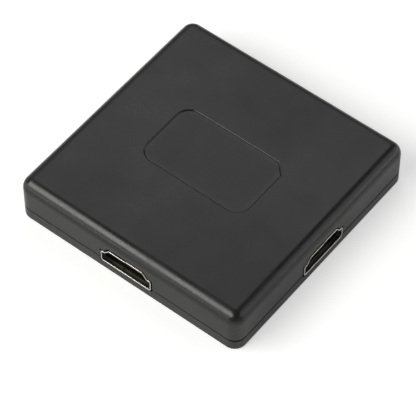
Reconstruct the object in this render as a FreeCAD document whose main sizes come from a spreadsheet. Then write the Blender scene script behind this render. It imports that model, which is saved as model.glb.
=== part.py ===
import FreeCAD, Part

import math
import os
import re

import Sketcher
from FreeCAD import Placement, Rotation, Vector

# A flat square video switch box. It stands on its underside, with the origin in the middle of the
# underside, +Z up, -Y towards the front socket and +Y towards the select button. Millimetres.

# Driving sizes: name, value, meaning
SIZES = (
    ("body_width", 64.0, "box, along X"),
    ("body_depth", 64.0, "box, along Y"),
    ("body_height", 12.2, "box, underside to top"),
    ("corner_radius", 3.1, "upright corners of the box"),
    ("top_round", 3.0, "edge between top and sides"),
    ("base_round", 0.4, "edge between underside and sides"),
    ("side_wall", 1.6, "thickness of the side walls"),
    ("roof_wall", 1.6, "thickness of the top"),
    ("floor_wall", 1.4, "thickness of the underside"),
    ("seam_height", 3.25, "middle of the seam above the underside"),
    ("seam_gap", 0.4, "open height of the seam"),
    ("lip_wall", 0.7, "thickness of the cover's locating lip"),
    ("lip_rise", 0.6, "how far the lip goes up inside the shell"),
    ("lip_play", 0.1, "play round the lip"),
    ("label_length", 29.8, "label recess, along X"),
    ("label_width", 18.1, "label recess, along Y"),
    ("label_x", -0.3, "middle of the label recess, along X"),
    ("label_y", 0.35, "middle of the label recess, along Y"),
    ("label_depth", 0.4, "depth of the label recess"),
    ("label_corner", 3.7, "rounded corners of the label recess"),
    ("label_chamfer", 2.9, "the one cut corner of the label recess"),
    ("label_rim", 0.3, "rounded upper edge of the label recess"),
    ("film_thick", 0.15, "blank label film"),
    ("film_margin", 0.05, "play between film and recess"),
    ("port_base", 2.65, "underside of a socket shell above the underside of the box"),
    ("port_width", 14.6, "socket shell, outside, wide edge"),
    ("port_height", 5.15, "socket shell, outside"),
    ("port_shoulder", 3.45, "height of the upright part of the shell's sides"),
    ("port_neck", 12.6, "width between the ends of the two shoulders"),
    ("port_slant", 52.0, "slope of the two slanted sides, degrees"),
    ("port_sheet", 0.3, "sheet metal of the socket shell"),
    ("port_bend", 0.6, "outer radius of the sheet's bends"),
    ("port_length", 11.5, "depth of the socket shell"),
    ("port_proud", 0.1, "how far the shell stands out of the box"),
    ("port_gap", 0.3, "gap between the shell and its window"),
    ("port_slit", 0.12, "slit where the shell's sheet meets itself"),
    ("key_start", 3.2, "distance of the slit's key from the mouth"),
    ("key_length", 2.4, "length of the slit's key"),
    ("key_side", 1.2, "how far the key reaches sideways"),
    ("finger_width", 1.7, "spring finger cut in the shell"),
    ("finger_length", 4.6, "length of a spring finger"),
    ("finger_slit", 0.25, "slit round a spring finger"),
    ("finger_start", 2.6, "distance of a finger's free end from the mouth"),
    ("finger_pitch", 6.8, "distance between the two fingers of a face"),
    ("tab_width", 1.4, "solder tab of the socket shell"),
    ("tab_first", 3.4, "distance of the first tab from the mouth"),
    ("tab_second", 9.0, "distance of the second tab from the mouth"),
    ("tab_through", 0.6, "how far a tab stands out above the board"),
    ("tab_root", 1.5, "how far a tab overlaps the shell's side"),
    ("tab_play", 0.15, "play round a tab in its board slot"),
    ("insert_play", 0.03, "play between the insulator and the shell"),
    ("block_start", 8.0, "distance of the insulator's block from the mouth"),
    ("block_tail", 0.5, "how far the block stands out behind the shell"),
    ("tongue_setback", 1.2, "distance of the tongue's tip from the mouth"),
    ("tongue_width", 10.9, "tongue that carries the contacts"),
    ("tongue_thick", 1.1, "thickness of the tongue"),
    ("tongue_bevel", 0.25, "bevel of the tongue's tip"),
    ("contact_pitch", 1.0, "distance between the contacts of one row"),
    ("contact_width", 0.3, "width of a contact"),
    ("contact_thick", 0.15, "thickness of a contact"),
    ("contact_setback", 0.6, "distance of a contact's end from the tongue's tip"),
    ("contact_gap", 0.3, "distance of the contacts' risers behind the block"),
    ("contact_foot", 0.9, "length of a contact's soldered foot"),
    ("board_thick", 1.0, "circuit board"),
    ("board_play", 0.3, "play between the board and the walls"),
    ("board_corner", 2.0, "corner radius of the board"),
    ("post_pitch", 51.0, "distance between the screws along each side"),
    ("post_radius", 2.9, "screw posts of the cover"),
    ("boss_radius", 2.4, "screw bosses of the shell"),
    ("pilot_play", 0.02, "play round the thread in its boss"),
    ("pilot_spare", 0.2, "pilot hole left beyond the screw's tip"),
    ("rib_play", 0.05, "play between a socket shell and its ribs"),
    ("rib_width", 1.0, "ribs under the socket shells"),
    ("rib_length", 6.0, "length of a rib"),
    ("rib_start", 3.0, "distance of a rib from the mouth"),
    ("rib_pitch", 8.0, "distance between the two ribs of a socket"),
    ("screw_length", 8.0, "case screw below its head"),
    ("thread_radius", 1.0, "thread of a case screw"),
    ("thread_root", 0.74, "core of a case screw"),
    ("thread_pitch", 0.8, "pitch of the thread"),
    ("head_radius", 1.9, "head of a case screw"),
    ("head_height", 1.4, "height of the head"),
    ("head_round", 0.4, "rounded edge of the head"),
    ("head_play", 0.2, "play round the head"),
    ("head_seat", 2.4, "seat of the head above the underside"),
    ("hole_play", 0.2, "play round a screw in the cover and the board"),
    ("cross_width", 0.45, "arm of the cross recess"),
    ("cross_span", 2.2, "span of the cross recess"),
    ("cross_depth", 0.9, "depth of the cross recess"),
    ("button_width", 8.0, "select button, along X"),
    ("button_height", 2.6, "select button, along Z"),
    ("button_corner", 1.0, "corner radius of the button"),
    ("button_edge", 0.35, "rounded edge of the button's face"),
    ("button_proud", 0.8, "how far the button stands out"),
    ("button_play", 0.12, "play round the button in its window"),
    ("button_travel", 0.35, "how far the button can be pressed"),
    ("flange_ear", 1.2, "ears of the button's flange, each side"),
    ("flange_lap", 0.25, "flange above and below the button"),
    ("flange_thick", 0.8, "thickness of the flange"),
    ("flange_play", 0.05, "gap between flange and wall at rest"),
    ("press_width", 3.0, "pressing boss of the button, along X"),
    ("press_height", 1.6, "pressing boss, along Z"),
    ("press_length", 1.0, "length of the pressing boss"),
    ("tact_width", 6.0, "tact switch, along X"),
    ("tact_height", 3.4, "tact switch, along Z"),
    ("tact_depth", 2.7, "housing of the tact switch, along Y"),
    ("tact_sheet", 0.25, "sheet metal of the tact switch's frame"),
    ("tact_stem", 1.0, "how far the plunger stands out of the frame"),
    ("tact_leg", 1.8, "legs of the frame along the housing's sides"),
    ("tact_foot", 0.7, "soldered feet of the frame and the pins"),
    ("well_radius", 1.55, "round well in the housing"),
    ("stem_width", 2.4, "plunger stem, along X"),
    ("stem_height", 1.4, "plunger stem, along Z"),
    ("stem_play", 0.05, "play round the stem"),
    ("disc_radius", 1.45, "disc of the plunger"),
    ("disc_thick", 0.5, "thickness of the disc"),
    ("dome_radius", 1.5, "snap dome"),
    ("dome_crown", 0.5, "flat crown of the dome"),
    ("dome_sheet", 0.08, "sheet of the dome"),
    ("dome_left", 0.3, "height left of the dome when the button is pressed home"),
    ("pin_width", 0.7, "terminal pin of the tact switch"),
    ("pin_pitch", 4.0, "distance between the two terminal pins"),
    ("pipe_pitch", 18.0, "distance between the two light pipes"),
    ("pipe_radius", 0.9, "light pipe where it passes the wall"),
    ("pipe_play", 0.02, "play round a light pipe"),
    ("pipe_proud", 0.15, "how far a light pipe stands out"),
    ("collar_width", 3.2, "collar of a light pipe, along X"),
    ("collar_thick", 1.0, "thickness of the collar"),
    ("collar_drop", 1.3, "how far the collar reaches below the pipe's axis"),
    ("collar_gap", 0.15, "gap between the collar and the board"),
    ("led_width", 3.0, "status light, along X"),
    ("led_height", 1.4, "status light, along Z"),
    ("led_depth", 1.2, "status light, along Y"),
    ("led_rim", 0.3, "rim round the light's face, and its depth"),
    ("led_gap", 0.1, "gap between a status light and its pipe"),
    ("chip_side", 10.0, "switch chip, each side"),
    ("chip_height", 1.4, "thickness of the switch chip"),
    ("chip_lead_pitch", 0.5, "distance between the switch chip's leads"),
    ("chip_bevel", 0.3, "bevel round a chip's outer face"),
    ("chip_standoff", 0.1, "gap between a chip's body and the board"),
    ("lead_width", 0.22, "width of a switch chip lead"),
    ("lead_sheet", 0.15, "thickness of a lead"),
    ("lead_knee", 0.35, "distance of a lead's bend from its chip"),
    ("lead_span", 1.0, "how far a lead reaches out of its chip"),
    ("control_length", 4.9, "control chip, along X"),
    ("control_width", 3.9, "control chip, along Y"),
    ("control_height", 1.5, "thickness of the control chip"),
    ("control_pitch", 1.27, "distance between the control chip's leads"),
    ("control_lead", 0.42, "width of a control chip lead"),
    ("control_y", 16.0, "control chip's place along Y"),
    ("regulator_length", 6.5, "voltage regulator, along X"),
    ("regulator_width", 3.5, "voltage regulator, along Y"),
    ("regulator_height", 1.6, "thickness of the voltage regulator"),
    ("regulator_pitch", 2.3, "distance between the regulator's leads"),
    ("regulator_lead", 0.7, "width of a regulator lead"),
    ("regulator_tab", 3.0, "width of the regulator's broad tab"),
    ("regulator_x", 14.0, "regulator's place along X"),
    ("can_radius", 2.0, "bulk capacitor"),
    ("can_height", 4.4, "height of the capacitor's can"),
    ("can_base", 0.8, "thickness of the capacitor's base"),
    ("can_margin", 0.15, "base beyond the can, each side"),
    ("can_chamfer", 0.9, "the two cut corners of the base"),
    ("can_round", 0.5, "rounded end of the can"),
    ("can_x", -14.0, "capacitor's place along X"),
    ("array_length", 2.5, "protection array"),
    ("array_width", 1.0, "width of a protection array"),
    ("array_height", 0.5, "thickness of a protection array"),
    ("array_setback", 15.3, "distance of a protection array from the mouth"),
    ("array_pitch", 6.0, "distance between the two arrays of a socket"),
    ("diode_length", 2.7, "supply diode"),
    ("diode_width", 1.6, "width of a supply diode"),
    ("diode_side", 9.5, "distance of a diode from the middle of its side"),
    ("diode_end", 0.5, "metal end of a diode"),
    ("diode_height", 1.1, "thickness of a supply diode"),
    ("small_length", 1.6, "ceramic capacitor or resistor"),
    ("small_width", 0.8, "width of a capacitor or resistor"),
    ("small_end", 0.3, "metal end of a capacitor or resistor"),
    ("ceramic_height", 0.8, "thickness of a ceramic capacitor"),
    ("resistor_height", 0.45, "thickness of a resistor"),
    ("ring_distance", 9.2, "distance of the ceramic capacitors from the chip's middle"),
    ("ring_pitch", 4.0, "distance between neighbouring ceramic capacitors"),
    ("bank_inset", 3.8, "distance of a resistor bank inside the row of the diodes"),
    ("bank_y", -12.0, "middle of each resistor bank along Y"),
    ("bank_pitch", 1.7, "distance between neighbouring resistors"),
)
NAMES = {name for name, *_ in SIZES}

UPPER_CONTACT_COUNT = 10
LOWER_CONTACT_COUNT = 9
CHIP_LEAD_COUNT = 16
CONTROL_LEAD_COUNT = 4
REGULATOR_LEAD_COUNT = 3
BANK_RESISTOR_COUNT = 4

# Places that several pieces share, written as formulas of the sizes above
SHELL_BASE = "(seam_height + seam_gap / 2)"
RIM_TOP = "(seam_height - seam_gap / 2)"
LIP_TOP = f"({SHELL_BASE} + lip_rise)"
ROOF_UNDER = "(body_height - roof_wall)"
PORT_TOP = "(port_base + port_height)"
BOARD_UNDER = PORT_TOP
BOARD_TOP = f"({BOARD_UNDER} + board_thick)"
SCREW_TIP = "(head_seat + screw_length)"
TONGUE_MIDDLE = "(port_base + port_height / 2)"
BUTTON_MIDDLE = f"({BOARD_UNDER} - tact_height / 2)"
FLANGE_FACE = "(body_depth / 2 - side_wall - flange_play)"
PLUNGER_TIP = f"({FLANGE_FACE} - flange_thick - press_length)"
FRAME_FACE = f"({PLUNGER_TIP} - tact_stem)"
HOUSING_FACE = f"({FRAME_FACE} - tact_sheet)"
HOUSING_BACK = f"({HOUSING_FACE} - tact_depth)"
DISC_FACE = f"({HOUSING_FACE} - stem_play)"
WELL_DEPTH = "(stem_play + disc_thick + button_travel + dome_left)"
WELL_FLOOR = f"({HOUSING_FACE} - {WELL_DEPTH})"
COLLAR_BACK = "(body_depth / 2 - side_wall - collar_thick)"

# The three sockets: side, turn about Z in degrees, distance of the box's face from the middle
SOCKETS = (
    ("front", 0, "body_depth / 2"),
    ("right", 90, "body_width / 2"),
    ("left", -90, "body_width / 2"),
)

doc = FreeCAD.newDocument("video_switch")
sheet = doc.addObject("Spreadsheet::Sheet", "Sizes")
for row, (name, number, meaning) in enumerate(SIZES, 1):
    sheet.set(f"A{row}", name)
    sheet.set(f"B{row}", str(number))
    sheet.set(f"C{row}", meaning)
    sheet.setAlias(f"B{row}", name)
doc.recompute()

subparts = []

# How near two places are taken as the same
NEAR = 1e-4


# Formulas

def formula(text):
    """The formula with each size written as its cell in the sheet."""
    def cell(word):
        return f"Sizes.{word.group()}" if word.group() in NAMES else word.group()
    return re.sub(r"[a-z_]+", cell, text)


def value(text):
    """The number that a formula gives."""
    result = sheet.evalExpression(formula(text))
    return float(getattr(result, "Value", result))


# Bodies, sketches and features

def new_body(label, turn=0):
    """An empty body, turned about Z."""
    body = doc.addObject("PartDesign::Body", label)
    body.Label = label
    body.Placement = Placement(Vector(0, 0, 0), Rotation(Vector(0, 0, 1), turn))
    return body


def keep(label, part):
    """Marks a finished piece as one of the sub-parts."""
    part.Label = label
    subparts.append((label, part))
    return part


def sketch_on(body, name, role, distance):
    """An empty sketch parallel to a plane of the body's origin, at a distance along its normal."""
    sketch = body.newObject("Sketcher::SketchObject", f"{body.Name}_{name}")
    plane = next(item for item in body.Origin.OriginFeatures if item.Role == role)
    sketch.AttachmentSupport = (plane, [""])
    sketch.MapMode = "FlatFace"
    sketch.setExpression("AttachmentOffset.Base.z", formula(distance))
    return sketch


def hold(sketch, kind, element, point, text):
    """Ties one coordinate of a point, or a radius, to a formula."""
    if point is None:
        constraint = Sketcher.Constraint(kind, element, value(text))
    else:
        constraint = Sketcher.Constraint(kind, element, point, value(text))
    index = sketch.addConstraint(constraint)
    sketch.setExpression(f"Constraints[{index}]", formula(text))


def add_polygon(sketch, corners):
    """A closed outline through corners given as pairs of formulas."""
    points = [Vector(value(across), value(up), 0) for across, up in corners]
    first = sketch.GeometryCount
    count = len(points)
    for index, start in enumerate(points):
        sketch.addGeometry(Part.LineSegment(start, points[(index + 1) % count]), False)
    for index in range(count):
        following = (index + 1) % count
        sketch.addConstraint(Sketcher.Constraint("Coincident", first + index, 2, first + following, 1))
    for index, (across, up) in enumerate(corners):
        hold(sketch, "DistanceX", first + index, 1, across)
        hold(sketch, "DistanceY", first + index, 1, up)


def add_rounded_rectangle(sketch, half_across, half_up, radius, middle="0"):
    """A rectangle with rounded corners about the upright axis, with its middle at a height."""
    rounding = value(radius)
    inner_across = value(half_across) - rounding
    inner_up = value(half_up) - rounding
    first = sketch.GeometryCount
    arcs = []
    for turn, (side, rise) in enumerate(((1, -1), (1, 1), (-1, 1), (-1, -1)), -1):
        centre = Vector(side * inner_across, value(middle) + rise * inner_up, 0)
        start = math.radians(90 * turn)
        circle = Part.Circle(centre, Vector(0, 0, 1), rounding)
        arcs.append(Part.ArcOfCircle(circle, start, start + math.pi / 2))
    for index, arc in enumerate(arcs):
        sketch.addGeometry(Part.LineSegment(arcs[index - 1].EndPoint, arc.StartPoint), False)
        sketch.addGeometry(arc, False)
    for index in range(4):
        line = first + 2 * index
        following = first + (2 * index + 2) % 8
        sketch.addConstraint(Sketcher.Constraint("Tangent", line, 2, line + 1, 1))
        sketch.addConstraint(Sketcher.Constraint("Tangent", line + 1, 2, following, 1))
        sketch.addConstraint(Sketcher.Constraint("Vertical" if index % 2 else "Horizontal", line))
        if index:
            sketch.addConstraint(Sketcher.Constraint("Equal", first + 1, line + 1))
    hold(sketch, "Radius", first + 1, None, radius)
    hold(sketch, "DistanceY", first, 1, f"{middle} - ({half_up})")
    hold(sketch, "DistanceX", first + 2, 1, half_across)
    hold(sketch, "DistanceY", first + 4, 1, f"{middle} + ({half_up})")
    hold(sketch, "DistanceX", first + 6, 1, f"-({half_across})")


def add_circle(sketch, across, up, radius):
    """A circle about a point given by formulas."""
    centre = Vector(value(across), value(up), 0)
    index = sketch.addGeometry(Part.Circle(centre, Vector(0, 0, 1), value(radius)), False)
    hold(sketch, "DistanceX", index, 3, across)
    hold(sketch, "DistanceY", index, 3, up)
    hold(sketch, "Radius", index, None, radius)


def add_screw_circles(sketch, radius):
    """A circle at each of the four case screws."""
    for side_x in ("-", ""):
        for side_y in ("-", ""):
            add_circle(sketch, f"{side_x}post_pitch / 2", f"{side_y}post_pitch / 2", radius)


def extrude(body, kind, sketch, length, reverse):
    """A pad or a pocket, checked against the volume that it had to change."""
    doc.recompute()
    before = body.Shape.Volume if body.Tip and not body.Shape.isNull() else 0.0
    feature = body.newObject(f"PartDesign::{kind}", f"{sketch.Name}_{kind.lower()}")
    feature.Profile = sketch
    feature.setExpression("Length", formula(length))
    feature.Reversed = reverse
    doc.recompute()
    change = body.Shape.Volume - before
    if (change > 0) != (kind == "Pad"):
        raise ValueError(f"{feature.Name} changed the volume by {change}")
    return feature


def pad(body, sketch, length, reverse=False):
    """Adds the sketch's outline along its normal, or against it."""
    return extrude(body, "Pad", sketch, length, reverse)


def pocket(body, sketch, length, reverse=False):
    """Cuts the sketch's outline against its normal, or along it."""
    return extrude(body, "Pocket", sketch, length, reverse)


def edges_along(body, axis, test=None):
    """The straight edges of a body parallel to X, Y or Z, given as 0, 1 or 2."""
    names = []
    for index, edge in enumerate(body.Tip.Shape.Edges, 1):
        if edge.Curve.TypeId != "Part::GeomLine":
            continue
        if abs(abs(edge.Curve.Direction[axis]) - 1) > NEAR:
            continue
        if test is None or test(edge.CenterOfMass):
            names.append(f"Edge{index}")
    return names


def edges_at(body, axis, level, test=None):
    """The edges of a body that lie wholly at one level of X, Y or Z."""
    names = []
    for index, edge in enumerate(body.Tip.Shape.Edges, 1):
        box = edge.BoundBox
        low = (box.XMin, box.YMin, box.ZMin)[axis]
        high = (box.XMax, box.YMax, box.ZMax)[axis]
        if max(abs(low - level), abs(high - level)) > NEAR:
            continue
        if test is None or test(edge.CenterOfMass):
            names.append(f"Edge{index}")
    return names


def soften(body, kind, edges, setting, size):
    """A fillet or chamfer on the named edges."""
    if not edges:
        raise ValueError(f"{body.Name} has no edge to soften")
    base = body.Tip
    feature = body.newObject(f"PartDesign::{kind}", f"{base.Name}_{kind.lower()}")
    feature.Base = (base, edges)
    feature.setExpression(setting, formula(size))
    doc.recompute()
    return feature


def fillet(body, edges, radius):
    """Rounds edges."""
    return soften(body, "Fillet", edges, "Radius", radius)


def chamfer(body, edges, size):
    """Bevels edges."""
    return soften(body, "Chamfer", edges, "Size", size)


def revolve(body, sketch):
    """Turns the sketch's outline once round its upright axis."""
    feature = body.newObject("PartDesign::Revolution", f"{sketch.Name}_turned")
    feature.Profile = sketch
    feature.ReferenceAxis = (sketch, ["V_Axis"])
    feature.Angle = 360
    doc.recompute()
    return feature


def boxes(label, items):
    """Separate boxes as one piece. An item holds the low and high formula along X, Y and Z."""
    members = []
    for index, limits in enumerate(items):
        member = doc.addObject("Part::Box", f"{label}_box_{index}")
        for (low, high), size, place in zip(limits, ("Length", "Width", "Height"), "xyz"):
            member.setExpression(size, formula(f"({high}) - ({low})"))
            member.setExpression(f"Placement.Base.{place}", formula(low))
        members.append(member)
    group = doc.addObject("Part::Compound", label)
    group.Links = members
    return keep(label, group)


def computed(label, solids, turn=0):
    """Separate solids whose shapes were worked out from the sheet, as one piece."""
    group = doc.addObject("Part::Feature", label)
    group.Shape = Part.makeCompound(solids)
    group.Placement = Placement(Vector(0, 0, 0), Rotation(Vector(0, 0, 1), turn))
    return keep(label, group)


# Corners and outlines that several pieces share

def corners_along(body, axis, corners):
    """The straight edges parallel to an axis that stand at given corners of an outline."""
    wanted = [(value(across), value(up)) for across, up in corners]
    others = [index for index in (0, 1, 2) if index != axis]

    def at_corner(middle):
        place = [middle[index] for index in others]
        return any(abs(place[0] - across) + abs(place[1] - up) < NEAR for across, up in wanted)
    return edges_along(body, axis, at_corner)


def rectangle(half_across, half_up, middle="0"):
    """The corners of a rectangle about the upright axis, with its middle at a height."""
    return (
        (f"-({half_across})", f"{middle} - ({half_up})"),
        (f"({half_across})", f"{middle} - ({half_up})"),
        (f"({half_across})", f"{middle} + ({half_up})"),
        (f"-({half_across})", f"{middle} + ({half_up})"),
    )


def add_plan(body, name, level, inset):
    """A sketch of the box's rounded plan at a level, moved inwards by an inset."""
    sketch = sketch_on(body, name, "XY_Plane", level)
    half_across = f"body_width / 2 - {inset}"
    add_rounded_rectangle(sketch, half_across, f"body_depth / 2 - {inset}", f"corner_radius - {inset}")
    return sketch


def socket_outline(inset):
    """The corners of a socket's D outline, moved inwards by an inset."""
    wide = f"(port_width / 2 - {inset})"
    neck = f"(port_neck / 2 - {inset} * tan(port_slant / 2))"
    crown = f"({neck} - (port_height - port_shoulder) / tan(port_slant))"
    low = f"(port_base + {inset})"
    shoulder = f"(port_base + port_shoulder - {inset})"
    top = f"({PORT_TOP} - {inset})"
    return (
        (f"-{wide}", low),
        (wide, low),
        (wide, shoulder),
        (neck, shoulder),
        (crown, top),
        (f"-{crown}", top),
        (f"-{neck}", shoulder),
        (f"-{wide}", shoulder),
    )


def label_outline(margin):
    """The corners of the label's place, one of them cut, moved inwards by a margin."""
    half_length = f"(label_length / 2 - {margin})"
    half_width = f"(label_width / 2 - {margin})"
    cut = f"(label_chamfer - {margin} * (1 - tan(22.5)))"
    return (
        (f"label_x - {half_length}", f"label_y - {half_width}"),
        (f"label_x + {half_length}", f"label_y - {half_width}"),
        (f"label_x + {half_length}", f"label_y + {half_width} - {cut}"),
        (f"label_x + {half_length} - {cut}", f"label_y + {half_width}"),
        (f"label_x - {half_length}", f"label_y + {half_width}"),
    )


def round_label(body, margin):
    """Rounds the label corners that aren't cut."""
    uncut = [label_outline(margin)[index] for index in (0, 1, 4)]
    fillet(body, corners_along(body, 2, uncut), f"label_corner - {margin}")


def mouth(reach):
    """The plane of a socket's mouth along Y, seen as the front socket."""
    return f"(-({reach}) - port_proud)"


def turned(turn, low_x, high_x, low_y, high_y):
    """A rectangle placed as on the front side, turned about Z to another side."""
    if turn == 90:
        return (f"-({high_y})", f"-({low_y})"), (low_x, high_x)
    if turn == -90:
        return (low_y, high_y), (f"-({high_x})", f"-({low_x})")
    if turn == 180:
        return (f"-({high_x})", f"-({low_x})"), (f"-({high_y})", f"-({low_y})")
    return (low_x, high_x), (low_y, high_y)


def add_turned_rectangle(sketch, *place):
    """A rectangle placed as on the front side, drawn on the side that it is turned to."""
    (low_x, high_x), (low_y, high_y) = turned(*place)
    add_polygon(sketch, ((low_x, low_y), (high_x, low_y), (high_x, high_y), (low_x, high_y)))


def cut_socket_windows(body):
    """Cuts each socket's window through the wall that the socket stands in."""
    for side, _, reach in SOCKETS:
        outside = f"({reach} + side_wall / 2)"
        role = "XZ_Plane" if side == "front" else "YZ_Plane"
        sketch = sketch_on(body, f"window_{side}", role, f"-{outside}" if side == "left" else outside)
        add_polygon(sketch, socket_outline("(-port_gap)"))
        pocket(body, sketch, "side_wall * 2", reverse=(side == "left"))


# Casing

def make_upper_shell():
    """The deep shell: top, side walls, screw bosses, windows and label recess."""
    body = new_body("upper_shell")
    pad(body, add_plan(body, "outside", SHELL_BASE, "0"), f"body_height - {SHELL_BASE}")
    fillet(body, edges_at(body, 2, value("body_height")), "top_round")
    skirt = "(side_wall - lip_wall - lip_play)"
    pocket(body, add_plan(body, "rebate", SHELL_BASE, skirt), "lip_rise + lip_play", reverse=True)
    hollow = add_plan(body, "hollow", SHELL_BASE, "side_wall")
    pocket(body, hollow, f"{ROOF_UNDER} - {SHELL_BASE}", reverse=True)

    bosses = sketch_on(body, "bosses", "XY_Plane", BOARD_TOP)
    add_screw_circles(bosses, "boss_radius")
    pad(body, bosses, f"{ROOF_UNDER} - {BOARD_TOP} + roof_wall / 2")
    pilots = sketch_on(body, "pilots", "XY_Plane", BOARD_TOP)
    add_screw_circles(pilots, "thread_radius + pilot_play")
    pocket(body, pilots, f"{SCREW_TIP} + pilot_spare - {BOARD_TOP}", reverse=True)

    cut_socket_windows(body)
    outside = "-(body_depth / 2 + side_wall / 2)"
    window = sketch_on(body, "button_window", "XZ_Plane", outside)
    half_width = "button_width / 2 + button_play"
    half_height = "button_height / 2 + button_play"
    add_rounded_rectangle(window, half_width, half_height, "button_corner + button_play", BUTTON_MIDDLE)
    pocket(body, window, "side_wall * 2", reverse=True)
    holes = sketch_on(body, "pipe_holes", "XZ_Plane", outside)
    for across in ("-", ""):
        add_circle(holes, f"{across}pipe_pitch / 2", BUTTON_MIDDLE, "pipe_radius + pipe_play")
    pocket(body, holes, "side_wall * 2", reverse=True)

    recess = sketch_on(body, "recess", "XY_Plane", "body_height")
    add_polygon(recess, label_outline("0"))
    pocket(body, recess, "label_depth")
    round_label(body, "0")
    reach = value("label_length / 2 + label_corner")
    rim = edges_at(body, 2, value("body_height"), lambda middle: math.hypot(middle.x, middle.y) < reach)
    fillet(body, rim, "label_rim")
    keep("upper_shell", body)


def make_bottom_cover():
    """The thin cover: floor, rim with its locating lip, screw posts and socket ribs."""
    body = new_body("bottom_cover")
    pad(body, add_plan(body, "outside", "0", "0"), RIM_TOP)
    fillet(body, edges_at(body, 2, 0.0), "base_round")
    lip_inset = "(side_wall - lip_wall)"
    pad(body, add_plan(body, "lip", RIM_TOP, lip_inset), f"{LIP_TOP} - {RIM_TOP}")
    pocket(body, add_plan(body, "hollow", "floor_wall", "side_wall"), LIP_TOP, reverse=True)

    posts = sketch_on(body, "posts", "XY_Plane", "floor_wall / 2")
    add_screw_circles(posts, "post_radius")
    pad(body, posts, f"{BOARD_UNDER} - floor_wall / 2")
    holes = sketch_on(body, "screw_holes", "XY_Plane", "0")
    add_screw_circles(holes, "thread_radius + hole_play")
    pocket(body, holes, BOARD_TOP, reverse=True)
    seats = sketch_on(body, "head_seats", "XY_Plane", "0")
    add_screw_circles(seats, "head_radius + head_play")
    pocket(body, seats, "head_seat", reverse=True)

    ribs = sketch_on(body, "ribs", "XY_Plane", "floor_wall / 2")
    for _, turn, reach in SOCKETS:
        start = f"{mouth(reach)} + rib_start"
        for across in ("-", ""):
            low = f"{across}rib_pitch / 2 - rib_width / 2"
            add_turned_rectangle(ribs, turn, low, f"{low} + rib_width", start, f"{start} + rib_length")
    pad(body, ribs, "port_base - rib_play - floor_wall / 2")

    cut_socket_windows(body)
    keep("bottom_cover", body)


def make_label_film():
    """The blank film that lies in the recess of the top."""
    body = new_body("label_film")
    outline = sketch_on(body, "outline", "XY_Plane", "body_height - label_depth")
    add_polygon(outline, label_outline("film_margin"))
    pad(body, outline, "film_thick")
    round_label(body, "film_margin")
    keep("label_film", body)


def make_case_screws():
    """The four case screws: one turned profile with a cross recess, repeated."""
    body = new_body("case_screw")
    profile = sketch_on(body, "profile", "XZ_Plane", "0")
    under = "(head_seat - head_height)"
    corners = [("0", under), ("head_radius", under), ("head_radius", "head_seat")]
    corners.append(("thread_root", "head_seat"))
    for index in range(int(value("(screw_length - 2 * thread_radius) / thread_pitch"))):
        crest = f"(head_seat + {index + 1} * thread_pitch)"
        corners.append(("thread_root", f"{crest} - thread_pitch / 3"))
        corners.append(("thread_radius", crest))
        corners.append(("thread_root", f"{crest} + thread_pitch / 3"))
    corners.append(("thread_root", f"{SCREW_TIP} - thread_root"))
    corners.append(("0", SCREW_TIP))
    add_polygon(profile, corners)
    revolve(body, profile)
    fillet(body, edges_at(body, 2, value(under)), "head_round")

    cross = sketch_on(body, "cross", "XY_Plane", under)
    arm = "cross_width / 2"
    tip = "cross_span / 2"
    add_polygon(cross, (
        (arm, arm), (arm, tip), (f"-{arm}", tip),
        (f"-{arm}", arm), (f"-{tip}", arm), (f"-{tip}", f"-{arm}"),
        (f"-{arm}", f"-{arm}"), (f"-{arm}", f"-{tip}"), (arm, f"-{tip}"),
        (arm, f"-{arm}"), (tip, f"-{arm}"), (tip, arm),
    ))
    pocket(body, cross, "cross_depth", reverse=True)

    half = value("post_pitch / 2")
    places = [Vector(side_x * half, side_y * half, 0) for side_x in (-1, 1) for side_y in (-1, 1)]
    computed("case_screws", [body.Shape.translated(place) for place in places])


# Sockets

def make_socket_shell(side, turn, reach):
    """One socket's folded shell: a D tube with its slit, spring fingers and solder tabs."""
    body = new_body(f"socket_shell_{side}", turn)
    outside = sketch_on(body, "outside", "XZ_Plane", f"-{mouth(reach)}")
    add_polygon(outside, socket_outline("0"))
    pad(body, outside, "port_length", reverse=True)
    fillet(body, corners_along(body, 1, socket_outline("0")), "port_bend")
    inside = sketch_on(body, "inside", "XZ_Plane", f"-{mouth(reach)}")
    add_polygon(inside, socket_outline("port_sheet"))
    pocket(body, inside, "port_length")
    fillet(body, corners_along(body, 1, socket_outline("port_sheet")), "port_bend - port_sheet")

    for name, distance in (("right_tabs", "port_width / 2 - port_sheet"), ("left_tabs", "-port_width / 2")):
        tabs = sketch_on(body, name, "YZ_Plane", distance)
        root = "(port_base + port_shoulder - tab_root)"
        for place in ("tab_first", "tab_second"):
            start = f"({mouth(reach)} + {place})"
            end = f"({start} + tab_width)"
            top = f"({BOARD_TOP} + tab_through)"
            add_polygon(tabs, ((start, root), (end, root), (end, top), (start, top)))
        pad(body, tabs, "port_sheet")

    upper_cuts = sketch_on(body, "upper_cuts", "XY_Plane", f"{PORT_TOP} + port_sheet")
    add_finger_slits(upper_cuts, reach)
    add_key_slit(upper_cuts, reach)
    pocket(body, upper_cuts, "port_sheet * 2")
    lower_cuts = sketch_on(body, "lower_cuts", "XY_Plane", "port_base - port_sheet")
    add_finger_slits(lower_cuts, reach)
    pocket(body, lower_cuts, "port_sheet * 2", reverse=True)
    keep(f"socket_shell_{side}", body)


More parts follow.
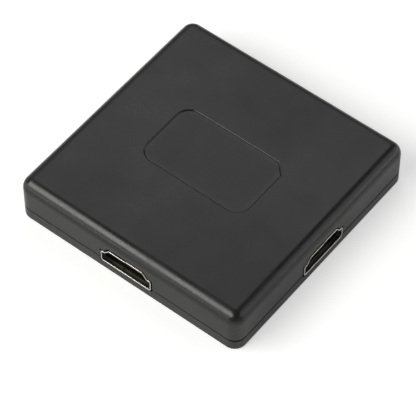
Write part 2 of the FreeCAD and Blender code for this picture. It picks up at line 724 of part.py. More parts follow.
def add_finger_slits(sketch, reach):
    """The U slits round the two spring fingers of a face, open towards the block."""
    tip = f"({mouth(reach)} + finger_start)"
    root = f"({tip} + finger_length)"
    for across in ("-", ""):
        middle = f"{across}finger_pitch / 2"
        inner = "finger_width / 2"
        outer = "(finger_width / 2 + finger_slit)"
        add_polygon(sketch, (
            (f"{middle} - {outer}", tip),
            (f"{middle} + {outer}", tip),
            (f"{middle} + {outer}", root),
            (f"{middle} + {inner}", root),
            (f"{middle} + {inner}", f"{tip} + finger_slit"),
            (f"{middle} - {inner}", f"{tip} + finger_slit"),
            (f"{middle} - {inner}", root),
            (f"{middle} - {outer}", root),
        ))


def add_key_slit(sketch, reach):
    """The slit where the folded sheet meets itself, with a square key to one side."""
    start = mouth(reach)
    half = "port_slit / 2"
    near = f"({start} + key_start)"
    far = f"({near} + key_length)"
    end = f"({start} + port_length)"
    add_polygon(sketch, (
        (f"-{half}", f"{start} - port_slit"),
        (f"-{half}", f"{near} + {half}"),
        (f"key_side - {half}", f"{near} + {half}"),
        (f"key_side - {half}", f"{far} - {half}"),
        (f"-{half}", f"{far} - {half}"),
        (f"-{half}", f"{end} + port_slit"),
        (half, f"{end} + port_slit"),
        (half, f"{far} + {half}"),
        (f"key_side + {half}", f"{far} + {half}"),
        (f"key_side + {half}", f"{near} - {half}"),
        (half, f"{near} - {half}"),
        (half, f"{start} - port_slit"),
    ))


def make_socket_contacts(side, turn, reach):
    """One socket's contacts: strips on both faces of the tongue, bent to the board behind the block."""
    front = value(mouth(reach))
    start = front + value("tongue_setback + contact_setback")
    riser = front + value("port_length + block_tail + contact_gap")
    thick = value("contact_thick")
    board = value(BOARD_UNDER)
    foot = riser + value("contact_foot")
    rows = (
        (UPPER_CONTACT_COUNT, value(f"{TONGUE_MIDDLE} + tongue_thick / 2 + contact_thick")),
        (LOWER_CONTACT_COUNT, value(f"{TONGUE_MIDDLE} - tongue_thick / 2")),
    )
    strips = []
    for count, top in rows:
        side_view = (
            (start, top - thick), (riser + thick, top - thick), (riser + thick, board - thick),
            (foot, board - thick), (foot, board), (riser, board), (riser, top), (start, top),
        )
        for index in range(count):
            middle = (index - (count - 1) / 2) * value("contact_pitch")
            strips.append(strip(side_view, middle, value("contact_width")))
    return computed(f"socket_contacts_{side}", strips, turn)


def strip(side_view, middle, width):
    """A strip with an outline in the YZ plane and a width along X."""
    points = [Vector(middle - width / 2, along, up) for along, up in side_view]
    return Part.Face(Part.makePolygon(points + points[:1])).extrude(Vector(width, 0, 0))


def make_socket_insulator(side, turn, reach, contacts):
    """One socket's insulator: a block in the back of the shell with the tongue in front."""
    body = new_body(f"insulator_{side}", turn)
    block = sketch_on(body, "block", "XZ_Plane", f"-({mouth(reach)} + block_start)")
    outline = socket_outline("(port_sheet + insert_play)")
    add_polygon(block, outline)
    pad(body, block, "port_length + block_tail - block_start", reverse=True)
    fillet(body, corners_along(body, 1, outline), "port_bend - port_sheet + insert_play")
    tongue = sketch_on(body, "tongue", "XZ_Plane", f"-({mouth(reach)} + tongue_setback)")
    add_polygon(tongue, rectangle("tongue_width / 2", "tongue_thick / 2", TONGUE_MIDDLE))
    pad(body, tongue, "port_length - tongue_setback", reverse=True)
    tip = value(f"{mouth(reach)} + tongue_setback")
    chamfer(body, edges_at(body, 1, tip), "tongue_bevel")
    cut = doc.addObject("Part::Cut", f"socket_insulator_{side}")
    cut.Base = body
    cut.Tool = contacts
    keep(f"socket_insulator_{side}", cut)


# Circuit board and what is soldered to it

def make_circuit_board():
    """The board with its screw holes and the slots for the sockets' tabs."""
    body = new_body("circuit_board")
    inset = "(side_wall + board_play)"
    outline = sketch_on(body, "outline", "XY_Plane", BOARD_UNDER)
    half_width = f"body_width / 2 - {inset}"
    add_rounded_rectangle(outline, half_width, f"body_depth / 2 - {inset}", "board_corner")
    pad(body, outline, "board_thick")
    holes = sketch_on(body, "holes", "XY_Plane", BOARD_TOP)
    add_screw_circles(holes, "thread_radius + hole_play")
    for _, turn, reach in SOCKETS:
        for place in ("tab_first", "tab_second"):
            start = f"({mouth(reach)} + {place} - tab_play)"
            end = f"({start} + tab_width + 2 * tab_play)"
            inner = "(port_width / 2 - port_sheet - tab_play)"
            outer = "(port_width / 2 + tab_play)"
            add_turned_rectangle(holes, turn, inner, outer, start, end)
            add_turned_rectangle(holes, turn, f"-{outer}", f"-{inner}", start, end)
    pocket(body, holes, "board_thick")
    keep("circuit_board", body)


def make_chip(label, half_length, half_width, height, place_x, place_y):
    """A moulded chip under the board, bevelled all round its outer face."""
    body = new_body(label)
    low = f"({BOARD_UNDER} - chip_standoff - {height})"
    outline = sketch_on(body, "outline", "XY_Plane", low)
    add_polygon(outline, (
        (f"{place_x} - {half_length}", f"{place_y} - {half_width}"),
        (f"{place_x} + {half_length}", f"{place_y} - {half_width}"),
        (f"{place_x} + {half_length}", f"{place_y} + {half_width}"),
        (f"{place_x} - {half_length}", f"{place_y} + {half_width}"),
    ))
    pad(body, outline, height)
    chamfer(body, edges_at(body, 2, value(low)), "chip_bevel")
    keep(label, body)


def gull_wing(width, height):
    """A lead along +Y from the middle of a chip's side, bent to the board, with its foot outwards."""
    board = value(BOARD_UNDER)
    thick = value("lead_sheet")
    reach = value("lead_span")
    knee = value("lead_knee")
    level = board - value("chip_standoff") - height / 2
    side_view = (
        (0, level - thick / 2), (knee + thick, level - thick / 2), (knee + thick, board - thick),
        (reach, board - thick), (reach, board), (knee, board), (knee, level + thick / 2),
        (0, level + thick / 2),
    )
    return strip(side_view, 0, width)


def lead_row(lead, count, pitch, distance, turn, centre):
    """A row of leads along one side of a chip, at a distance from the chip's centre."""
    row = []
    for index in range(count):
        copy = lead.translated(Vector((index - (count - 1) / 2) * pitch, distance, 0))
        copy.rotate(Vector(0, 0, 0), Vector(0, 0, 1), turn)
        row.append(copy.translated(centre))
    return row


def make_switch_chip():
    """The square switch chip in the middle of the board, with leads on four sides."""
    make_chip("switch_chip", "chip_side / 2", "chip_side / 2", "chip_height", "0", "0")
    lead = gull_wing(value("lead_width"), value("chip_height"))
    centre = Vector(0, 0, 0)
    leads = []
    for turn in (0, 90, 180, 270):
        row = (lead, CHIP_LEAD_COUNT, value("chip_lead_pitch"), value("chip_side / 2"), turn, centre)
        leads += lead_row(*row)
    computed("switch_chip_leads", leads)


def make_control_chip():
    """The small control chip behind the button's switch, with leads on two sides."""
    make_chip("control_chip", "control_length / 2", "control_width / 2", "control_height", "0", "control_y")
    lead = gull_wing(value("control_lead"), value("control_height"))
    centre = Vector(0, value("control_y"), 0)
    leads = []
    for turn in (0, 180):
        row = (lead, CONTROL_LEAD_COUNT, value("control_pitch"), value("control_width / 2"), turn, centre)
        leads += lead_row(*row)
    computed("control_chip_leads", leads)


def make_regulator():
    """The voltage regulator with three leads on one side and a broad tab on the other."""
    size = ("regulator_length / 2", "regulator_width / 2", "regulator_height")
    make_chip("voltage_regulator", *size, "regulator_x", "control_y")
    centre = Vector(value("regulator_x"), value("control_y"), 0)
    height = value("regulator_height")
    distance = value("regulator_width / 2")
    narrow = gull_wing(value("regulator_lead"), height)
    broad = gull_wing(value("regulator_tab"), height)
    leads = lead_row(narrow, REGULATOR_LEAD_COUNT, value("regulator_pitch"), distance, 180, centre)
    leads += lead_row(broad, 1, 0, distance, 0, centre)
    computed("regulator_leads", leads)


def make_bulk_capacitor():
    """The round bulk capacitor: a metal can on a square base."""
    base = new_body("bulk_capacitor_base")
    outline = sketch_on(base, "outline", "XY_Plane", f"{BOARD_UNDER} - can_base")
    add_polygon(outline, (
        ("can_x - can_radius - can_margin", "control_y - can_radius - can_margin"),
        ("can_x + can_radius + can_margin", "control_y - can_radius - can_margin"),
        ("can_x + can_radius + can_margin", "control_y + can_radius + can_margin"),
        ("can_x - can_radius - can_margin", "control_y + can_radius + can_margin"),
    ))
    pad(base, outline, "can_base")
    front = value("control_y")
    chamfer(base, edges_along(base, 2, lambda middle: middle.y < front), "can_chamfer")
    keep("bulk_capacitor_base", base)

    can = new_body("bulk_capacitor_can")
    level = f"({BOARD_UNDER} - can_base - can_height)"
    circle = sketch_on(can, "circle", "XY_Plane", level)
    add_circle(circle, "can_x", "control_y", "can_radius")
    pad(can, circle, "can_height")
    fillet(can, edges_at(can, 2, value(level)), "can_round")
    keep("bulk_capacitor_can", can)


def under_board(height):
    """The low and high level of a part soldered under the board."""
    return f"{BOARD_UNDER} - {height}", BOARD_UNDER


def end_capped(body_label, cap_label, length, width, cap, height, places):
    """Small parts with a metal end at both ends. A place holds a turn, a middle and a distance outwards."""
    bodies = []
    caps = []
    for turn, middle, outwards in places:
        low = f"(-({outwards}) - {length} / 2)"
        high = f"({low} + {length})"
        sides = (f"({middle}) - {width} / 2", f"({middle}) + {width} / 2")
        level = under_board(height)
        bodies.append((*turned(turn, *sides, f"{low} + {cap}", f"{high} - {cap}"), level))
        caps.append((*turned(turn, *sides, low, f"{low} + {cap}"), level))
        caps.append((*turned(turn, *sides, f"{high} - {cap}", high), level))
    boxes(body_label, bodies)
    boxes(cap_label, caps)


def make_small_parts():
    """Protection arrays and a supply diode at each socket, ceramic capacitors and resistors."""
    arrays = []
    diodes = []
    for _, turn, reach in SOCKETS:
        row = f"({reach} + port_proud - array_setback)"
        near = f"(-{row} - array_width / 2)"
        for across in ("-", ""):
            middle = f"({across}array_pitch / 2)"
            sides = (f"{middle} - array_length / 2", f"{middle} + array_length / 2")
            level = under_board("array_height")
            arrays.append((*turned(turn, *sides, near, f"{near} + array_width"), level))
        diodes.append((turn, "diode_side", row))
    boxes("protection_arrays", arrays)
    size = ("diode_length", "diode_width", "diode_end", "diode_height")
    end_capped("supply_diodes", "diode_ends", *size, diodes)

    ring = []
    for turn in (0, 90, 180, -90):
        for offset in (-1, 0, 1):
            ring.append((turn, f"{offset} * ring_pitch", "ring_distance"))
    small = ("small_length", "small_width", "small_end")
    end_capped("ceramic_capacitors", "capacitor_ends", *small, "ceramic_height", ring)
    banks = []
    for turn, sign in ((90, ""), (-90, "-")):
        for index in range(BANK_RESISTOR_COUNT):
            step = index - (BANK_RESISTOR_COUNT - 1) / 2
            middle = f"{sign}(bank_y + {step} * bank_pitch)"
            banks.append((turn, middle, "body_width / 2 + port_proud - array_setback - bank_inset"))
    end_capped("chip_resistors", "resistor_ends", *small, "resistor_height", banks)


# Select button and its switch

def rear_sketch(body, name, place_y):
    """A sketch facing the rear wall, at a place along Y. A pad on it grows towards the front."""
    return sketch_on(body, name, "XZ_Plane", f"-({place_y})")


def make_select_button():
    """The button that stands out of the rear wall: face, flange behind the wall and pressing boss."""
    body = new_body("select_button")
    face = rear_sketch(body, "face", "body_depth / 2 + button_proud")
    add_rounded_rectangle(face, "button_width / 2", "button_height / 2", "button_corner", BUTTON_MIDDLE)
    pad(body, face, f"body_depth / 2 + button_proud - {FLANGE_FACE} + flange_thick")
    fillet(body, edges_at(body, 1, value("body_depth / 2 + button_proud")), "button_edge")
    flange = rear_sketch(body, "flange", FLANGE_FACE)
    half_height = "button_height / 2 + flange_lap"
    add_polygon(flange, rectangle("button_width / 2 + flange_ear", half_height, BUTTON_MIDDLE))
    pad(body, flange, "flange_thick")
    press = rear_sketch(body, "press", f"{FLANGE_FACE} - flange_thick / 2")
    add_polygon(press, rectangle("press_width / 2", "press_height / 2", BUTTON_MIDDLE))
    pad(body, press, "flange_thick / 2 + press_length")
    keep("select_button", body)


def make_tact_switch():
    """The tact switch behind the button: housing with a well, sheet frame, plunger, dome and pins."""
    housing = new_body("tact_switch_housing")
    outline = rear_sketch(housing, "outline", HOUSING_FACE)
    add_polygon(outline, rectangle("tact_width / 2", "tact_height / 2", BUTTON_MIDDLE))
    pad(housing, outline, "tact_depth")
    well = rear_sketch(housing, "well", HOUSING_FACE)
    add_circle(well, "0", BUTTON_MIDDLE, "well_radius")
    pocket(housing, well, WELL_DEPTH, reverse=True)
    keep("tact_switch_housing", housing)

    frame = new_body("tact_switch_frame")
    bend = sketch_on(frame, "bend", "XY_Plane", f"{BOARD_UNDER} - tact_height")
    inner = "(tact_width / 2)"
    outer = "(tact_width / 2 + tact_sheet)"
    back = f"({HOUSING_FACE} - tact_leg)"
    add_polygon(bend, (
        (f"-{outer}", back), (f"-{inner}", back), (f"-{inner}", HOUSING_FACE), (inner, HOUSING_FACE),
        (inner, back), (outer, back), (outer, FRAME_FACE), (f"-{outer}", FRAME_FACE),
    ))
    pad(frame, bend, "tact_height")
    feet = sketch_on(frame, "feet", "XY_Plane", f"{BOARD_UNDER} - tact_sheet")
    for low, high in ((inner, f"{outer} + tact_foot"), (f"-{outer} - tact_foot", f"-{inner}")):
        add_polygon(feet, ((low, back), (high, back), (high, HOUSING_FACE), (low, HOUSING_FACE)))
    pad(frame, feet, "tact_sheet")
    opening = rear_sketch(frame, "opening", f"{FRAME_FACE} + tact_sheet")
    half_width = "stem_width / 2 + stem_play"
    add_polygon(opening, rectangle(half_width, "stem_height / 2 + stem_play", BUTTON_MIDDLE))
    pocket(frame, opening, "tact_sheet * 3", reverse=True)
    keep("tact_switch_frame", frame)

    plunger = new_body("tact_switch_plunger")
    stem = rear_sketch(plunger, "stem", PLUNGER_TIP)
    add_polygon(stem, rectangle("stem_width / 2", "stem_height / 2", BUTTON_MIDDLE))
    pad(plunger, stem, f"{PLUNGER_TIP} - {DISC_FACE}")
    disc = rear_sketch(plunger, "disc", DISC_FACE)
    add_circle(disc, "0", BUTTON_MIDDLE, "disc_radius")
    pad(plunger, disc, "disc_thick")
    keep("tact_switch_plunger", plunger)

    dome = new_body("tact_switch_dome")
    profile = sketch_on(dome, "profile", "XZ_Plane", "0")
    rise = "(button_travel + dome_left)"
    add_polygon(profile, (
        ("0", f"{rise} - dome_sheet"), ("dome_crown", f"{rise} - dome_sheet"),
        ("dome_radius - 2 * dome_sheet", "0"), ("dome_radius", "0"), ("dome_radius", "dome_sheet"),
        ("dome_crown", rise), ("0", rise),
    ))
    revolve(dome, profile)
    dome.Placement = Placement(Vector(0, 0, 0), Rotation(Vector(1, 0, 0), -90))
    dome.setExpression("Placement.Base.y", formula(WELL_FLOOR))
    dome.setExpression("Placement.Base.z", formula(BUTTON_MIDDLE))
    keep("tact_switch_dome", dome)

    pins = []
    for across in ("-", ""):
        low = f"{across}pin_pitch / 2 - pin_width / 2"
        along = (f"{HOUSING_BACK} - tact_foot", HOUSING_BACK)
        pins.append(((low, f"{low} + pin_width"), along, under_board("tact_sheet")))
    boxes("tact_switch_pins", pins)


# Status lights and light pipes

def make_status_light(side, sign):
    """One status light under the board's rear edge and the clear pipe that carries its light out."""
    middle = f"({sign}pipe_pitch / 2)"
    led = new_body(f"status_led_{side}")
    face = rear_sketch(led, "face", f"{COLLAR_BACK} - led_gap")
    level = f"({BOARD_UNDER} - led_height / 2)"
    add_polygon(face, shifted(rectangle("led_width / 2", "led_height / 2", level), middle))
    pad(led, face, "led_depth")
    cup = rear_sketch(led, "cup", f"{COLLAR_BACK} - led_gap")
    half_width = "led_width / 2 - led_rim"
    add_polygon(cup, shifted(rectangle(half_width, "led_height / 2 - led_rim", level), middle))
    pocket(led, cup, "led_rim", reverse=True)
    keep(f"status_led_{side}", led)

    pipe = new_body(f"light_pipe_{side}")
    rod = rear_sketch(pipe, "rod", "body_depth / 2 + pipe_proud")
    add_circle(rod, middle, BUTTON_MIDDLE, "pipe_radius")
    pad(pipe, rod, "pipe_proud + side_wall + collar_thick / 2")
    fillet(pipe, edges_at(pipe, 1, value("body_depth / 2 + pipe_proud")), "pipe_proud")
    collar = rear_sketch(pipe, "collar", "body_depth / 2 - side_wall")
    low = f"({BUTTON_MIDDLE} - collar_drop)"
    high = f"({BOARD_UNDER} - collar_gap)"
    add_polygon(collar, (
        (f"{middle} - collar_width / 2", low),
        (f"{middle} + collar_width / 2", low),
        (f"{middle} + collar_width / 2", high),
        (f"{middle} - collar_width / 2", high),
    ))
    pad(pipe, collar, "collar_thick")
    keep(f"light_pipe_{side}", pipe)


def shifted(corners, middle):
    """An outline moved sideways to a middle."""
    return tuple((f"{middle} + {across}", up) for across, up in corners)


make_upper_shell()
make_bottom_cover()
make_label_film()
make_case_screws()
for side, turn, reach in SOCKETS:
    make_socket_shell(side, turn, reach)
    socket_contacts = make_socket_contacts(side, turn, reach)
    make_socket_insulator(side, turn, reach, socket_contacts)
make_circuit_board()
make_switch_chip()
make_control_chip()
make_regulator()
make_bulk_capacitor()
make_small_parts()
make_select_button()
make_tact_switch()
make_status_light("left", "-")
make_status_light("right", "")
doc.recompute()

for item in doc.Objects:
    if "Invalid" in item.State or "Error" in item.State:
        raise ValueError(f"{item.Label} failed: {item.State}")
for label, part in subparts:
    if part.Shape.isNull() or not part.Shape.isValid():
        raise ValueError(f"{label} has no valid shape")

os.makedirs("parts", exist_ok=True)
for label, part in subparts:
    part.Shape.exportStep(f"parts/{label}.step")
    print(label, len(part.Shape.Solids), round(part.Shape.Volume, 3))
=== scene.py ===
import math

import bmesh
import bpy
from mathutils import Matrix, Vector


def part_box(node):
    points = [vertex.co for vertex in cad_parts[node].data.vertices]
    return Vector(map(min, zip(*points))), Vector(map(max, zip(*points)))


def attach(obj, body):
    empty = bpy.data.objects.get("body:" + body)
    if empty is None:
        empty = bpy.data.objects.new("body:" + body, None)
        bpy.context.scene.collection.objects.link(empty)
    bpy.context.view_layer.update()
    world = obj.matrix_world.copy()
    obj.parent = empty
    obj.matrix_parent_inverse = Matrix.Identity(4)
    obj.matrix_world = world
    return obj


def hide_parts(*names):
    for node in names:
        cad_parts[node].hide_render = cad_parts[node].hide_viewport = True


# A flat square video switch box on a pale floor, seen from above one corner.
# Lengths in this script are millimetres until a mesh is finished.

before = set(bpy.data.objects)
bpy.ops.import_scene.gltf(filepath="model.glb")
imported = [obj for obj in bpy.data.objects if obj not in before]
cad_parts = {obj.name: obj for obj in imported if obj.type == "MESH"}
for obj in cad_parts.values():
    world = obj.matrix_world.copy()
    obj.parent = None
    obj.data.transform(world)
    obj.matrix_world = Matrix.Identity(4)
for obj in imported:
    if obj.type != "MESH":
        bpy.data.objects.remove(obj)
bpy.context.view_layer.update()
scene = bpy.context.scene
MM = 0.001

# A gap too small to see
HAIR = 0.01


def span(node, axis):
    """The lowest and the highest place of a solid along X, Y or Z, given as 0, 1 or 2."""
    return tuple(round(corner[axis] / MM, 3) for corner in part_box(node))


# Places that the dressed pieces share with the solids

BOX_HEIGHT = span("upper_shell", 2)[1]
BOARD_UNDER, BOARD_TOP = span("circuit_board", 2)
MOUTH = -span("socket_shell_front", 1)[0]


# Node trees

class Link:
    """The output of a node. Python's arithmetic on it adds Math nodes."""

    def __init__(self, web, socket):
        self.web = web
        self.socket = socket

    def __add__(self, other):
        return self.web.maths("ADD", self, other)

    def __radd__(self, other):
        return self.web.maths("ADD", other, self)

    def __sub__(self, other):
        return self.web.maths("SUBTRACT", self, other)

    def __rsub__(self, other):
        return self.web.maths("SUBTRACT", other, self)

    def __mul__(self, other):
        return self.web.maths("MULTIPLY", self, other)

    def __rmul__(self, other):
        return self.web.maths("MULTIPLY", other, self)

    def __truediv__(self, other):
        return self.web.maths("DIVIDE", self, other)

    def __rtruediv__(self, other):
        return self.web.maths("DIVIDE", other, self)

    def __abs__(self):
        return self.web.maths("ABSOLUTE", self)


class Web:
    """A shader or geometry tree that is filled one node at a time."""

    def __init__(self, tree):
        self.tree = tree
        self.tree.nodes.clear()

    def node(self, kind, settings=None, inputs=None, output=0):
        """One node: its settings first, then the values or links of its sockets."""
        made = self.tree.nodes.new(kind)
        for name, setting in (settings or {}).items():
            setattr(made, name, setting)
        for name, given in (inputs or {}).items():
            if isinstance(given, Link):
                self.tree.links.new(given.socket, made.inputs[name])
            else:
                made.inputs[name].default_value = given
        return Link(self, made.outputs[output])

    def close(self, kind, link):
        """Ends the tree with an output node."""
        self.tree.links.new(link.socket, self.tree.nodes.new(kind).inputs[0])

    def maths(self, operation, *values):
        """A Math node on one to three values."""
        return self.node("ShaderNodeMath", {"operation": operation}, dict(enumerate(values)))


class Finish(Web):
    """A surface finish: one shader with its constants, and what varies over the surface."""

    def __init__(self, name, constants):
        self.material = bpy.data.materials.new(name)
        self.material.use_nodes = True
        super().__init__(self.material.node_tree)
        self.shader = self.tree.nodes.new("ShaderNodeBsdfPrincipled")
        self.close("ShaderNodeOutputMaterial", Link(self, self.shader.outputs[0]))
        for socket, number in constants.items():
            self.shader.inputs[socket].default_value = number
        self.place = self.node("ShaderNodeTexCoord", output="Object")
        self.facing = self.node("ShaderNodeTexCoord", output="Normal")

    def feed(self, socket, link):
        """Lets a link set what varies over the surface."""
        self.tree.links.new(link.socket, self.shader.inputs[socket])

    def stretched(self, across, along, up):
        """Object coordinates in millimetres, divided by a length along each axis."""
        scale = (1 / (across * MM), 1 / (along * MM), 1 / (up * MM))
        return self.node("ShaderNodeMapping", {}, {"Vector": self.place, "Scale": scale})

    def noise(self, size, detail=2.0, roughness=0.5, place=None):
        """Cloudy noise with features of a size in millimetres, from 0 to 1."""
        scale = 1.0 if place else 1 / (size * MM)
        sockets = {"Vector": place or self.place, "Scale": scale, "Detail": detail, "Roughness": roughness}
        return self.node("ShaderNodeTexNoise", {}, sockets)

    def cells(self, size):
        """Distance to scattered points about a size in millimetres apart."""
        sockets = {"Vector": self.place, "Scale": 1 / (size * MM)}
        return self.node("ShaderNodeTexVoronoi", {"feature": "F1"}, sockets, "Distance")

    def between(self, link, low, high, to_low=0.0, to_high=1.0):
        """A link's range from low to high, spread over another range and held there."""
        sockets = {"Value": link, "From Min": low, "From Max": high, "To Min": to_low, "To Max": to_high}
        return self.node("ShaderNodeMapRange", {"clamp": True}, sockets)

    def mix(self, share, first, second):
        """Two colours mixed by a share."""
        colours = {0: share, 6: first, 7: second}
        return self.node("ShaderNodeMix", {"data_type": "RGBA"}, colours, 2)

    def part_of(self, vector, axis):
        """One coordinate of a vector."""
        return self.node("ShaderNodeSeparateXYZ", {}, {"Vector": vector}, axis)

    def edges(self):
        """Near 1 on rounded edges and slants, 0 on faces that look along an axis."""
        sides = [abs(self.part_of(self.facing, axis)) for axis in "XYZ"]
        longest = self.maths("MAXIMUM", self.maths("MAXIMUM", sides[0], sides[1]), sides[2])
        return self.between(longest, 0.995, 0.85)

    def relief(self, height, depth):
        """Bumps of a depth in millimetres from a height between 0 and 1."""
        sockets = {"Height": height, "Distance": depth * MM, "Strength": 1.0}
        self.feed("Normal", self.node("ShaderNodeBump", {}, sockets))


class Pattern(Web):
    """A geometry tree with named sizes."""

    KINDS = {float: "NodeSocketFloat", int: "NodeSocketInt"}

    def __init__(self, name):
        super().__init__(bpy.data.node_groups.new(name, "GeometryNodeTree"))
        self.tree.interface.new_socket("Geometry", in_out="OUTPUT", socket_type="NodeSocketGeometry")
        self.tree.interface.new_socket("Unit", in_out="INPUT", socket_type="NodeSocketGeometry")
        self.tree.interface.new_socket("Finish", in_out="INPUT", socket_type="NodeSocketMaterial")
        self.entry = self.tree.nodes.new("NodeGroupInput")

    def size(self, name, kind=float):
        """A named size of the pattern."""
        self.tree.interface.new_socket(name, in_out="INPUT", socket_type=self.KINDS[kind])
        return self.given(name)

    def given(self, name):
        """What the modifier hands in under a name."""
        return Link(self, self.entry.outputs[name])

    def vector(self, across=0.0, along=0.0, up=0.0):
        """A vector from three numbers or links."""
        return self.node("ShaderNodeCombineXYZ", {}, {"X": across, "Y": along, "Z": up})

    def end(self, geometry):
        """Closes the tree: instances made real and given their finish."""
        real = self.node("GeometryNodeRealizeInstances", {}, {"Geometry": geometry})
        done = self.node(
            "GeometryNodeSetMaterial", {}, {"Geometry": real, "Material": self.given("Finish")}
        )
        self.close("NodeGroupOutput", done)
        return self


# Finishes

# Depths behind a socket's mouth where the sheet is painted darker as painted shade, painted lighter in a
# band as painted light, and painted darker again
MOUTH_ZONES = ((0.02, 0.14), (0.5, 1.0), (1.15, 1.4))
FILM_DARK = (0.0180, 0.0180, 0.0185, 1)
FILM_LIGHT = (0.0245, 0.0245, 0.0245, 1)
# Colour of a painted sheen that lightens the film along its edges, and the sheen's width in millimetres
FILM_EDGE_SHEEN = (0.0290, 0.0290, 0.0290, 1)
FILM_EDGE_SHEEN_WIDTH = 1.5


def moulded(name, dark, light, roughness, grain, depth, wear):
    """Moulded plastic with a spark-eroded grain, faint clouds and edges polished by handling."""
    finish = Finish(name, {"Specular IOR Level": 0.5})
    coarse = finish.noise(grain * 2.4, detail=3.0, roughness=0.62)
    fine = finish.noise(grain, detail=2.0, roughness=0.5)
    clouds = finish.noise(9.0, detail=3.0, roughness=0.55)
    smudges = finish.noise(22.0, detail=4.0, roughness=0.6)
    patches = finish.noise(1.7, detail=4.0, roughness=0.65)
    worn = finish.edges() * finish.between(patches, 0.35, 0.75) * wear
    tone = finish.between(fine * 0.55 + coarse * 0.25 + clouds * 0.2, 0.36, 0.64)
    finish.feed("Base Color", finish.mix(tone, (*dark, 1), (*light, 1)))
    shine = finish.between(smudges, 0.35, 0.7, roughness - 0.055, roughness + 0.065)
    finish.feed("Roughness", shine + (fine - 0.5) * 0.12 + (coarse - 0.5) * 0.16 - worn * 0.12)
    finish.relief(fine * 0.45 + coarse * 0.55, depth)
    return finish.material


def plated(name, colour, stain, roughness, brush, depth, mouth_shade=None):
    """Plated metal with fine rolling marks and slight staining; just inside a socket's mouth painted shade
    darkens it and it turns rougher, with one lighter band of painted light.
    """
    finish = Finish(name, {"Metallic": 1.0})
    marks = finish.noise(1.0, detail=3.0, roughness=0.6, place=finish.stretched(*brush))
    stains = finish.noise(1.6, detail=4.0, roughness=0.6)
    spots = finish.noise(0.25, detail=3.0, roughness=0.5)
    tone = finish.mix(finish.between(stains, 0.42, 0.75), (*colour, 1), (*stain, 1))
    shine = roughness + (marks - 0.5) * 0.16 + (stains - 0.5) * 0.14
    # Painted shade: behind the mouth the sheet is darkened to a shade colour, except in one band that is
    # painted lighter as painted light
    if mouth_shade:
        across, along = (abs(finish.part_of(finish.place, axis)) for axis in "XY")
        reach = finish.maths("MAXIMUM", across, along)
        inside, light_band_start, light_band_end = (
            finish.between(reach, (MOUTH - near) * MM, (MOUTH - far) * MM) for near, far in MOUTH_ZONES
        )
        tone = finish.mix(inside, tone, finish.mix(light_band_start * (1.0 - light_band_end), (*mouth_shade, 1), (*stain, 1)))
        shine = shine + inside * 0.08
    finish.feed("Base Color", tone)
    finish.feed("Roughness", shine)
    finish.relief(marks * 0.7 + spots * 0.3, depth)
    return finish.material


def resin(name, dark, light, roughness=0.55):
    """Moulding resin of chips, with filler specks."""
    finish = Finish(name, {})
    specks = finish.cells(0.16)
    body = finish.noise(0.8, detail=4.0, roughness=0.6)
    tone = finish.between(body, 0.35, 0.68) * 0.7 + finish.between(specks, 0.5, 0.15) * 0.3
    finish.feed("Base Color", finish.mix(tone, (*dark, 1), (*light, 1)))
    finish.feed("Roughness", roughness + (body - 0.5) * 0.2)
    finish.relief(specks * 0.5 + body * 0.5, 0.012)
    return finish.material


def film():
    """The blank label film: smoother than the casing, with a soft satin coat and a painted sheen along its
    edges.
    """
    finish = Finish("label_film_satin", {"Specular IOR Level": 0.5, "Coat Roughness": 0.5})
    ripple = finish.noise(5.0, detail=2.0, roughness=0.5)
    grain = finish.noise(0.35, detail=2.0, roughness=0.5)
    scuffs = finish.noise(1.0, detail=4.0, roughness=0.7, place=finish.stretched(2.6, 0.5, 1.0))
    # Painted sheen: the colour lightens towards the film's edges
    sheen_edges = []
    for axis, letter in enumerate("XY"):
        low, high = span("label_film", axis)
        off = abs(finish.part_of(finish.place, letter) - (low + high) / 2 * MM)
        half = (high - low) / 2
        sheen_edges.append(finish.between(off, (half - FILM_EDGE_SHEEN_WIDTH) * MM, half * MM))
    body = finish.mix(finish.between(scuffs, 0.45, 0.8), FILM_DARK, FILM_LIGHT)
    finish.feed("Base Color", finish.mix(finish.maths("MAXIMUM", *sheen_edges), body, FILM_EDGE_SHEEN))
    finish.feed("Roughness", 0.42 + (ripple - 0.5) * 0.1 + (grain - 0.5) * 0.08)
    finish.relief(grain * 0.4 + ripple * 0.6, 0.006)
    return finish.material


def laminate():
    """Solder-masked board: glassy green over copper tracks and a faint glass weave."""
    finish = Finish("board_solder_mask", {"Coat Roughness": 0.15})
    lanes = finish.node("ShaderNodeTexWave", {"bands_direction": "X"}, {
        "Vector": finish.stretched(1.6, 1.6, 1.6), "Scale": 0.5, "Distortion": 6.0,
        "Detail": 2.0, "Detail Scale": 0.35, "Detail Roughness": 0.4,
    }, "Fac")
    tracks = finish.between(lanes, 0.62, 0.7)
    weave = finish.noise(1.0, detail=1.0, roughness=0.5, place=finish.stretched(0.3, 1.1, 1.0))
    flood = finish.between(finish.noise(7.0, detail=2.0, roughness=0.4), 0.52, 0.54)
    copper = finish.maths("MAXIMUM", tracks, flood)
    finish.feed("Base Color", finish.mix(copper, (0.009, 0.075, 0.028, 1), (0.02, 0.16, 0.05, 1)))
    finish.feed("Roughness", 0.3 + (weave - 0.5) * 0.1)
    finish.relief(copper * 0.8 + weave * 0.2, 0.03)
    return finish.material


def ceramic(name, dark, light):
    """Fired ceramic with a chalky surface."""
    finish = Finish(name, {})
    body = finish.noise(0.3, detail=4.0, roughness=0.6)
    finish.feed("Base Color", finish.mix(finish.between(body, 0.35, 0.7), (*dark, 1), (*light, 1)))
    finish.feed("Roughness", 0.5 + (body - 0.5) * 0.2)
    finish.relief(body, 0.01)
    return finish.material


def clear(name):
    """Clear moulded acrylic of the light pipes, faintly frosted by its mould."""
    finish = Finish(name, {"Transmission Weight": 0.85, "IOR": 1.49})
    flow = finish.noise(1.1, detail=3.0, roughness=0.5)
    finish.feed("Base Color", finish.mix(flow, (0.80, 0.84, 0.86, 1), (0.92, 0.94, 0.94, 1)))
    finish.feed("Roughness", 0.16 + (flow - 0.5) * 0.14)
    finish.relief(flow, 0.01)
    return finish.material


